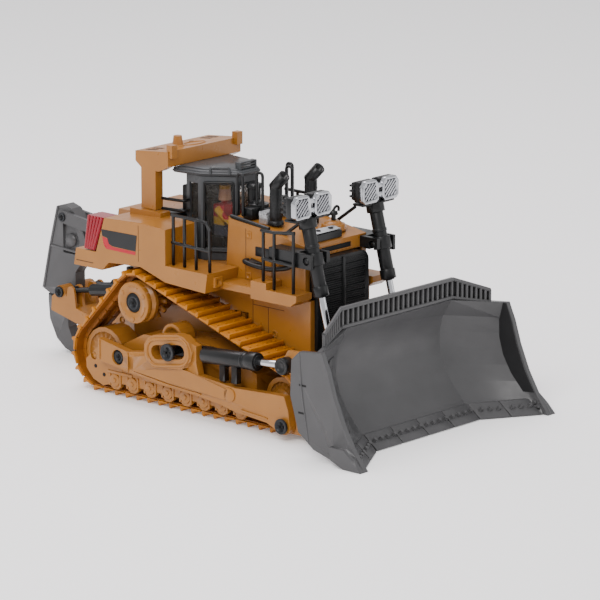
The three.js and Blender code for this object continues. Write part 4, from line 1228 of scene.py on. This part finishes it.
@dataclass
class Hood:
    """The engine hood and hull with their moulded details, grille, vents and exhausts."""

    bench: Bench
    flank: float = 28.3
    hull: float = 27.5

    def build(self) -> None:
        """Builds the hood's details."""
        for node in ("chassis_hull", "upper_body"):
            smoothed(node, OCHRE)
        for node, finish in (
            ("bottom_cover", BLACK), ("radiator_grille", BLACK), ("battery_pack", BLACK),
            ("circuit_board", BOARD), ("drive_gearbox", GEAR_WHITE), ("power_switch", SWITCH),
        ):
            paint(node, finish)
        self.grooves()
        self.embosses()
        self.grille()
        self.vent_box()
        self.dome()
        self.exhausts()
        self.filter_block()
        self.hose()

    def grooves(self) -> None:
        """Cuts the panel lines as fine grooves on both flanks, dark with painted shade."""
        bench = self.bench
        parts = []
        for sign in (1, -1):
            x = sorted((sign * (self.flank - 0.1), sign * (self.flank + 0.06)))
            for y, low, high in ((151.2, 80, 116.0), (129.4, 80, 98.0)):
                parts.append(bench.slab("line", (x[0], y, low), (x[1], y + 0.4, high), 0.0))
            x = sorted((sign * (self.hull - 0.1), sign * (self.hull + 0.06)))
            for y, low, high in ((146.0, 44, 77), (133.0, 44, 68)):
                parts.append(bench.slab("line", (x[0], y, low), (x[1], y + 0.4, high), 0.0))
            parts.append(bench.slab("line", (x[0], 120, 68), (x[1], 146, 68.4), 0.0))
        fitted("hood_grooves", parts, OCHRE_GROOVE_SHADE)

    def embosses(self) -> None:
        """Raises the small frames, the plain pad and the round mark on the flanks."""
        bench = self.bench
        frames, pads = [], []
        for sign in (1, -1):
            outer = sign * (self.flank + 0.5)
            x = sorted((sign * (self.flank - 0.3), outer))
            for y, z in ((146.6, 109.8), (146.6, 83.6)):
                mark = bench.slab("mark", (x[0], y, z), (x[1], y + 4.4, z + 4.6), 0.3)
                frames.append(bench.recess(mark, (sign, 0, 0), 0.8, 0.35))
            pads.append(bench.slab("pad", (x[0], 131.8, 99.8), (x[1], 143.2, 105.8), 0.4))
            inner, outer = sign * (self.hull - 0.3), sign * (self.hull + 0.5)
            ring = bench.disc("ring", (inner, outer), (128, 52), 2.6, 24, 0.3)
            frames.append(bench.recess(ring, (sign, 0, 0), 0.7, 0.3))
        fitted("flank_embosses", frames, OCHRE)
        fitted("flank_pads", pads, PANEL_GREY)

    def grille(self) -> None:
        """Adds the fine louvres, the centre bar and the frame of the radiator."""
        bench = self.bench
        parts = []
        for index in range(36):
            z = 51.0 + 1.4 * index
            blade = [(95.6, z), (95.0, z + 0.3), (95.1, z + 0.7), (95.8, z + 0.7)]
            parts.append(bench.side_plate("louvre", blade, (-20.4, 20.4), 0.0))
        parts.append(bench.slab("bar", (-1.2, 94.5, 50.0), (1.2, 96.0, 102.0), 0.3))
        fitted("grille_louvres", parts, BLACK)
        # The slot in the hood is a dark strip of painted shade.
        slot = bench.slab("hood_slot", (-13.3, 101.2, 105.4), (13.3, 102.0, 108.2), 0.1)
        dress(slot, RECESS_SHADE)
        rim = bench.tube("slot_rim", [(-14, 101.4, 104.8), (14, 101.4, 104.8), (14, 101.4, 108.8),
                                      (-14, 101.4, 108.8), (-14, 101.4, 104.8)], 0.35, 0.4)
        dress(rim, OCHRE)

    def vent_box(self) -> None:
        """Caps the vent box with a bright plate that has two ports."""
        bench = self.bench
        paint("hood_vent_box", BLACK)
        outline = [(-15.6, 103.9, 116.9), (7.1, 103.9, 116.9), (7.1, 110.2, 117.8), (-15.6, 110.2, 117.8)]
        plate = bench.prism("vent_plate", outline, (0.0, 0.0, 0.7), 0.25)
        dress(plate, STEEL)
        # The ports are dark discs of painted shade.
        ports = []
        for x in (-10.5, 1.0):
            ports.append(bench.rod("port", (x, 107.0, 117.4), (x, 107.0, 118.4), 1.7, sides=20, edge=0.1))
        fitted("vent_ports", ports, RECESS_SHADE)

    def dome(self) -> None:
        """Raises the small dome in front of the stacks, and its filler cap."""
        bench = self.bench
        x, y = spot = (14.0, 116.0)
        dome = [
            bench.post("base", spot, (113.6, 117.6), 8.2, 7.4, 40, 0.6),
            bench.post("crown", spot, (117.2, 119.6), 6.8, 3.6, 40, 0.9),
        ]
        fitted("hood_dome", dome, OCHRE)
        hook = [(x - 1, y, 125), (x + 2, y, 128.4), (x + 5, y, 127.2), (x + 4.5, y, 124.6)]
        cap = [
            bench.post("stem", spot, (119.2, 124.0), 1.5, None, 20, 0.3),
            bench.post("cap", spot, (123.0, 125.4), 3.0, 2.4, 20, 0.5),
            bench.tube("hook", hook, 0.9),
        ]
        fitted("filler_cap", cap, BLACK)

    def exhausts(self) -> None:
        """Finishes the two stacks, with a collar and rim on each."""
        bench, y, radius = self.bench, 137, 4.0
        for side in Side:
            smoothed(f"exhaust_{side.tag}", BLACK, "chassis", 50.0)
            x = side.value * 16.2
            parts = [
                bench.post("skin", (x, y), (118.6, 142.0), radius, None, 36, 0.3),
                bench.post("collar", (x, y), (118.5, 121.2), 5.2, 4.6, 36, 0.4),
            ]
            for row in range(6):
                for column in range(10):
                    turn = math.tau * (column + 0.5 * (row % 2)) / 10
                    across, along, z = math.cos(turn), math.sin(turn), 124.0 + 2.6 * row
                    spot, out = ((x + reach * across, y + reach * along, z) for reach in (radius, 4.14))
                    parts.append(bench.rod("rivet", spot, out, 0.55, sides=8, edge=0.0))
            fitted(f"stack_shield_{side.tag}", parts, BLACK)
        smoothed("pre_cleaner", BLACK)

    def filter_block(self) -> None:
        """Adds the finned air filter, the side rail and the pipes behind the stacks."""
        bench = self.bench
        fins = [bench.slab("block", (-20.5, 140.6, 118.4), (-11.5, 147.2, 124.6), 0.6)]
        for index in range(5):
            y = 141.0 + 1.35 * index
            fins.append(bench.slab("fin", (-21.0, y, 118.6), (-11.0, y + 0.6, 126.2), 0.15))
        fitted("filter_fins", fins, STEEL)
        pipe = [(9, 158, 120.0), (9, 158, 128.0), (9, 150, 130.0), (2, 148, 130)]
        rails = [
            bench.tube("rail", [(-28.0, 164.0, 122.0), (-28.0, 132.0, 118.4)], 1.2, 1.0),
            bench.tube("rail", [(28.0, 164.0, 122.0), (28.0, 132.0, 118.4)], 1.2, 1.0),
            bench.rod("drum", (-14, 150.5, 122.6), (14, 150.5, 122.6), 3.6, sides=28, edge=0.6),
            bench.tube("pipe", pipe, 2.0, 4.0),
            bench.slab("box", (-22.0, 152.0, 120.0), (-13.0, 160.0, 127.0), 0.8),
            bench.slab("box", (4.0, 126.0, 116.0), (12.0, 132.5, 121.5), 0.8),
        ]
        for x in (23.0, -23.0):
            rails.append(bench.tube("stay", [(x, 124.0, 115.0), (x, 106.0, 128.0)], 1.1, 1.0))
            rails.append(bench.post("stay_foot", (x, 124.0), (114.0, 116.8), 2.2, edge=0.3))
        fitted("engine_fittings", rails, BLACK)

    def hose(self) -> None:
        """Runs the curved hose along the flank to the bracket."""
        route = [(-29.0, 149.0, 96.0), (-33.5, 149.0, 96.4), (-33.5, 140.0, 94.8), (-33.5, 126.0, 94.4),
                 (-33.5, 110.0, 98.0), (-33.5, 105.0, 102.4)]
        hose = self.bench.tube("flank_hose", route, 1.6, 5.0)
        dress(hose, BLACK)
        corner = [(-29.0, 146.0, 97.0), (-33.0, 146.0, 95.4), (-29.0, 135.0, 95.0)]
        dress(self.bench.prism("hose_web", corner, (0.0, 0.0, 1.2), 0.2), BLACK)


# ---------------------------------------------------------------- cab and canopy


@dataclass
class Cab:
    """The cab with its glazing, driver, roof fittings and rails."""

    bench: Bench

    def build(self) -> None:
        """Builds the cab's pieces."""
        paint("cab_shell", CAB_GREY)
        paint("cab_glazing", GLAZING)
        paint("driver_seat", BLACK)
        smoothed("driver_figure", FIGURE)
        self.arms()
        self.roof()
        self.roof_fittings()
        self.rear_bars()
        self.loops()

    def roof(self) -> None:
        """Moulds the roof: a plate whose rim stands over a crowned top, with its front lamp bar."""
        bench = self.bench
        plan = [(9.0, 174.0), (24.0, 194.6), (26.0, 216.0)]
        ring = [(x, y) for x, y in plan] + [(-x, y) for x, y in reversed(plan)]
        plate = bench.prism("plate", [(x, y, 142.3) for x, y in ring], (0.0, 0.0, 3.6), 0.9)
        crown = [(x * 0.88, 196.0 + (y - 196.0) * 0.86, 145.4) for x, y in ring]
        parts = [plate, bench.prism("crown", crown, (0.0, 0.0, 1.5), 1.2)]
        for z in (146.4, 148.2, 150.0):
            parts.append(bench.slab("bar", (-7.4, 175.4, z), (7.4, 179.0, z + 1.0), 0.3))
        for x in (-7.8, 6.4):
            parts.append(bench.slab("end", (x, 175.0, 145.6), (x + 1.4, 179.4, 151.0), 0.4))
        whole = fitted("roof_moulding", parts, CAB_GREY)
        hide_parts("cab_roof")

    def arms(self) -> None:
        """Gives the driver yellow sleeves, from the shoulder to the hand."""
        bench = self.bench
        sleeves = []
        for x, wrist in ((6.6, 5.0), (-6.6, -5.0)):
            elbow = math.copysign(7.0, x)
            shoulder, hand = (x, 196, 118.6), (wrist, 182.8, 112.2)
            sleeves.append(bench.rod("sleeve", shoulder, (elbow, 189, 112.6), 2.6, 2.2, edge=0.5))
            sleeves.append(bench.rod("sleeve", (elbow, 189.6, 112.8), hand, 2.2, 1.8, edge=0.4))
        fitted("driver_sleeves", sleeves, SLEEVE)

    def roof_fittings(self) -> None:
        """Adds the roof's handle, ribs, lamps and edge trim."""
        bench = self.bench
        handle = [(-21.4, 188, 144.0), (-21.4, 188, 148.2), (-14.0, 178.4, 148.2), (-14.0, 178.4, 144.0)]
        gutter = [(-26.2, 215.6), (-24.3, 194.6), (-9.0, 173.8), (9.0, 173.8), (24.3, 194.6), (26.2, 215.6)]
        parts = [
            bench.tube("handle", handle, 0.9, 1.5),
            bench.tube("gutter", [(*spot, 144.0) for spot in gutter], 0.7, 1.0),
        ]
        fitted("roof_fittings", parts, CAB_GREY)
        frames = []
        for sign in (1, -1):
            front, rear = (sign * 10.6, 178.2), (sign * 21.6, 193.2)
            seal = [(*front, 94), (*rear, 94), (*rear, 138.2), (*front, 138.2), (*front, 94)]
            frames.append(bench.tube("seal", seal, 0.8, 1.2))
            root, hold = (sign * 20.9, 190.8), (sign * 22.3, 190.2)
            grip = [(*root, 112), (*hold, 112), (*hold, 103), (*root, 103)]
            frames.append(bench.tube("grip", grip, 0.7, 1.0))
        window = ((-8.0, 113), (8.0, 113), (8.0, 136.6), (-8.0, 136.6), (-8.0, 113))
        seal = [(x, 176.2, z) for x, z in window]
        frames.append(bench.tube("seal", seal, 0.8, 1.2))
        frames.append(bench.tube("wiper", [(0, 175.8, 113.4), (3.4, 175.4, 126.0)], 0.5, 1.0))
        fitted("door_frames", frames, BLACK)

    def rear_bars(self) -> None:
        """Adds the bars and boxes between the cab and the canopy's posts."""
        bench = self.bench
        parts = [bench.slab("box", (-21.0, 208.4, 114.4), (21.0, 213.0, 134.0), 1.0)]
        for z in (118.0, 124.5):
            for sign in (-1, 1):
                post, bend, cab = (sign * 27.5, 226.0), (sign * 27.5, 205.5), (sign * 22.5, 205.5)
                bar = [(*post, z), (*bend, z + 0.8), (*cab, z + 0.8)]
                parts.append(bench.tube("bar", bar, 1.0, 2.0))
        parts.append(bench.slab("sill", (-26.0, 214.0, 112.8), (26.0, 223.4, 115.6), 0.6))
        fitted("cab_rear_bars", parts, BLACK)

    def loops(self) -> None:
        """Adds the tall mirror loops in front of the cab."""
        bench = self.bench
        parts = []
        for x, y, low, high in ((-23.0, 161.0, 121.8, 148.0), (-13.6, 153.0, 121.6, 148.6),
                                (23.0, 161.0, 121.8, 148.0), (13.6, 153.0, 121.6, 148.6)):
            route = [(x, y + 2.4, low), (x, y + 2.4, high), (x, y - 2.4, high), (x, y - 2.4, low)]
            parts.append(bench.tube("loop", route, 1.0, 2.4))
        parts.append(bench.post("intake", (-2, 168.4), (121.2, 136.0), 4.2, None, 28, 0.6))
        parts.append(bench.post("cap", (-2, 168.4), (135.4, 138.4), 5.4, 4.4, 28, 0.6))
        fitted("mirror_loops", parts, BLACK)


@dataclass
class Canopy:
    """The roll-over canopy with its slots, blocks and beacon."""

    bench: Bench

    def build(self) -> None:
        """Builds the canopy's details."""
        paint("rops_canopy", OCHRE)
        bench = self.bench
        rise = (153.9 - 156.6) / 28.5
        pits, rims = [], []

        def top(y: float) -> float:
            """Returns the height of the canopy's top at a station."""
            return 156.6 + (y - 213) * rise
        # The slots and dimples are dark ochre: painted shade in their hollows.
        for x in (-29.0, -23.6, 20.6, 26.0):
            front, rear = top(228) - 0.3, top(237) - 0.3
            outline = [(x, 228, front), (x + 3.0, 228, front), (x + 3.0, 237, rear), (x, 237, rear)]
            pits.append(bench.prism("slot", outline, (0.0, 0.0, 0.42), 0.05))
        for x in (-22.0, -2.0, 8.0):
            heights = (top(232) - 0.4, top(232) + 0.12)
            pits.append(bench.post("dimple", (x, 232), heights, 1.6, None, 24, 0.05))
        turns = (math.tau * step / 24 for step in range(25))
        plan = [(2 + 9 * math.cos(turn), 224 + 5.5 * math.sin(turn)) for turn in turns]
        rims.append(bench.tube("ring", [(x, y, top(y) + 0.1) for x, y in plan], 0.4, 0.5))
        rims.append(bench.post("skirt", (-11, 226), (top(226) - 0.4, top(226) + 1.2), 5.2, 4.4, edge=0.4))
        for x in (-33.0, 31.0):
            rims.append(bench.slab("post_web", (x, 224.6, 117.9), (x + 2.0, 236.0, 119.6), 0.4))
        fitted("canopy_slots", pits, OCHRE_GROOVE_SHADE)
        fitted("canopy_rims", rims, OCHRE)


# ---------------------------------------------------------------- fenders and rails


@dataclass
class Fender:
    """One fender with its tank, printed panel, tail lamp and handrail."""

    bench: Bench
    side: Side
    outer: float = 57.0

    def build(self) -> None:
        """Builds the fender's details."""
        tag = self.side.tag
        paint(f"fender_tank_{tag}", OCHRE)
        smoothed(f"rear_handrail_{tag}", BLACK, "chassis", 65.0)
        self.print_panel(tag)
        self.seams(tag)
        self.tail_lamp(tag)

    def span(self, proud: float) -> Pair:
        """Returns the x values from just inside the outer face to just proud of it."""
        low, high = sorted((self.side.value * (self.outer - 0.2), self.side.value * (self.outer + proud)))
        return (low, high)

    def print_panel(self, tag: str) -> None:
        """Prints the plain grey panel and its red stripe."""
        grey = [(249.4, 105.6), (218.0, 106.0), (219.2, 95.6), (239.6, 95.9), (242.8, 97.0), (244.2, 100.6),
                (248.6, 101.4)]
        red = [(248.6, 101.0), (244.0, 100.2), (242.6, 96.7), (239.6, 95.5), (219.2, 95.3), (219.6, 93.2),
               (245.2, 93.4), (247.2, 95.6)]
        dress(self.bench.side_plate(f"panel_grey_{tag}", grey, self.span(0.12), 0.0), PANEL_GREY)
        dress(self.bench.side_plate(f"panel_red_{tag}", red, self.span(0.10), 0.0), PANEL_RED)

    def seams(self, tag: str) -> None:
        """Scores the tank's seam, the deck's groove and the front face's frame."""
        bench, x = self.bench, self.span(0.06)
        # The seam and the deck's groove are dark strips of painted shade.
        parts = [
            bench.slab("seam", (x[0], 216.6, 89.4), (x[1], 217.0, 112.6), 0.0),
            bench.slab("groove", (x[0], 257.0, 82.1), (x[1], 272.0, 82.6), 0.0),
        ]
        fitted(f"tank_seams_{tag}", parts, OCHRE_GROOVE_SHADE)
        sign = self.side.value
        low, high = sorted((sign * 43.0, sign * 50.6))
        box = bench.slab(f"deck_frame_{tag}", (low, 157.0, 80.6), (high, 159.4, 87.4), 0.5)
        dress(bench.recess(box, (0, -1, 0), 1.2, 0.5), OCHRE)

    def tail_lamp(self, tag: str) -> None:
        """Ribs the tall red tail lamp."""
        bench, sign = self.bench, self.side.value
        paint(f"tail_lamp_{tag}", LAMP_RED)
        ribs = []
        for index in range(5):
            foot = (sign * 56.5, 257.0 + 1.75 * index, 91.2)
            head = (sign * 56.5, 249.2 + 2.8 * index, 112.8)
            ribs.append(bench.rod("rib", foot, head, 0.95, 1.15, sides=12, edge=0.0))
        for x in (46.5, 50.2, 53.9):
            foot, head = (sign * x, 264.2, 91.2), (sign * x, 261.4, 112.8)
            ribs.append(bench.rod("rib", foot, head, 1.0, sides=12, edge=0.0))
        fitted(f"tail_ribs_{tag}", ribs, LAMP_RED)


# ---------------------------------------------------------------- ripper


@dataclass
class Ripper:
    """The rear ripper's castings, cylinders and bolt heads."""

    bench: Bench
    run: TrackRun

    def build(self) -> None:
        """Builds the ripper's pieces."""
        smoothed("ripper_frame", OCHRE, "ripper_frame", 18.0)
        for node in ("ripper_link", "ripper_carriage"):
            smoothed(node, BLADE_GREY, node)
        smoothed("ripper_shank", BLADE_GREY, "ripper_carriage", 30.0)
        bench = self.bench
        for side in Side:
            tag, sign = side.tag, side.value
            for node in (f"ripper_barrel_{tag}", f"ripper_rod_{tag}"):
                smoothed(node, BLACK, node)
            self.run.screw(f"ripper_bolt_{tag}", (sign * 15.6, 331.0, 44.0), sign, 3.7, "ripper_frame")
            self.run.screw(f"link_bolt_{tag}", (sign * 8.2, 335.0, 92.5), sign, 3.0, "ripper_link")
            post = [
                bench.post("post", (sign * 22.5, 256.0), (57.0, 74.0), 4.0, None, 28, 0.5),
                bench.post("foot", (sign * 22.5, 256.0), (55.0, 60.0), 5.0, None, 28, 0.5),
            ]
            fitted(f"rear_post_{tag}", post, BLACK)
        ribs = []
        for x in ((4.2, 4.9), (-4.9, -4.2)):
            for name, outline in (
                ("edge", [(342.4, 98.4), (340.6, 98.6), (348.0, 71.0), (349.9, 71.0)]),
                ("edge", [(349.9, 71.0), (348.2, 71.0), (354.6, 42.0), (356.8, 41.6)]),
                ("web", [(349.0, 72.0), (319.0, 70.4), (319.0, 68.8), (349.0, 70.4)]),
            ):
                ribs.append(bench.side_plate(name, outline, x, 0.2))
        fitted("carriage_ribs", ribs, BLADE_GREY, "ripper_carriage")


# ---------------------------------------------------------------- assembly


def main() -> None:
    """Builds the stage and then each sub-assembly."""
    logging.basicConfig(level=logging.INFO, format="%(message)s")
    cad_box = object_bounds()
    bench = Bench(front=cad_box[0][1])
    Stage().build()
    runs = {side: TrackRun(bench, side) for side in Side}
    for side, run in runs.items():
        run.build()
        PushArm(bench, run).build()
        LiftCylinder(bench, side).build()
        Fender(bench, side).build()
    Blade(bench).build()
    Hood(bench).build()
    Cab(bench).build()
    Canopy(bench).build()
    Ripper(bench, runs[Side.RIGHT]).build()
    smoothed("front_handrail", BLACK, "chassis", 65.0)
    boxes = {"cad": cad_box, "visual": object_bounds()}
    sizes = {name: [list(corner) for corner in box] for name, box in boxes.items()}


if __name__ == "__main__":
    main()
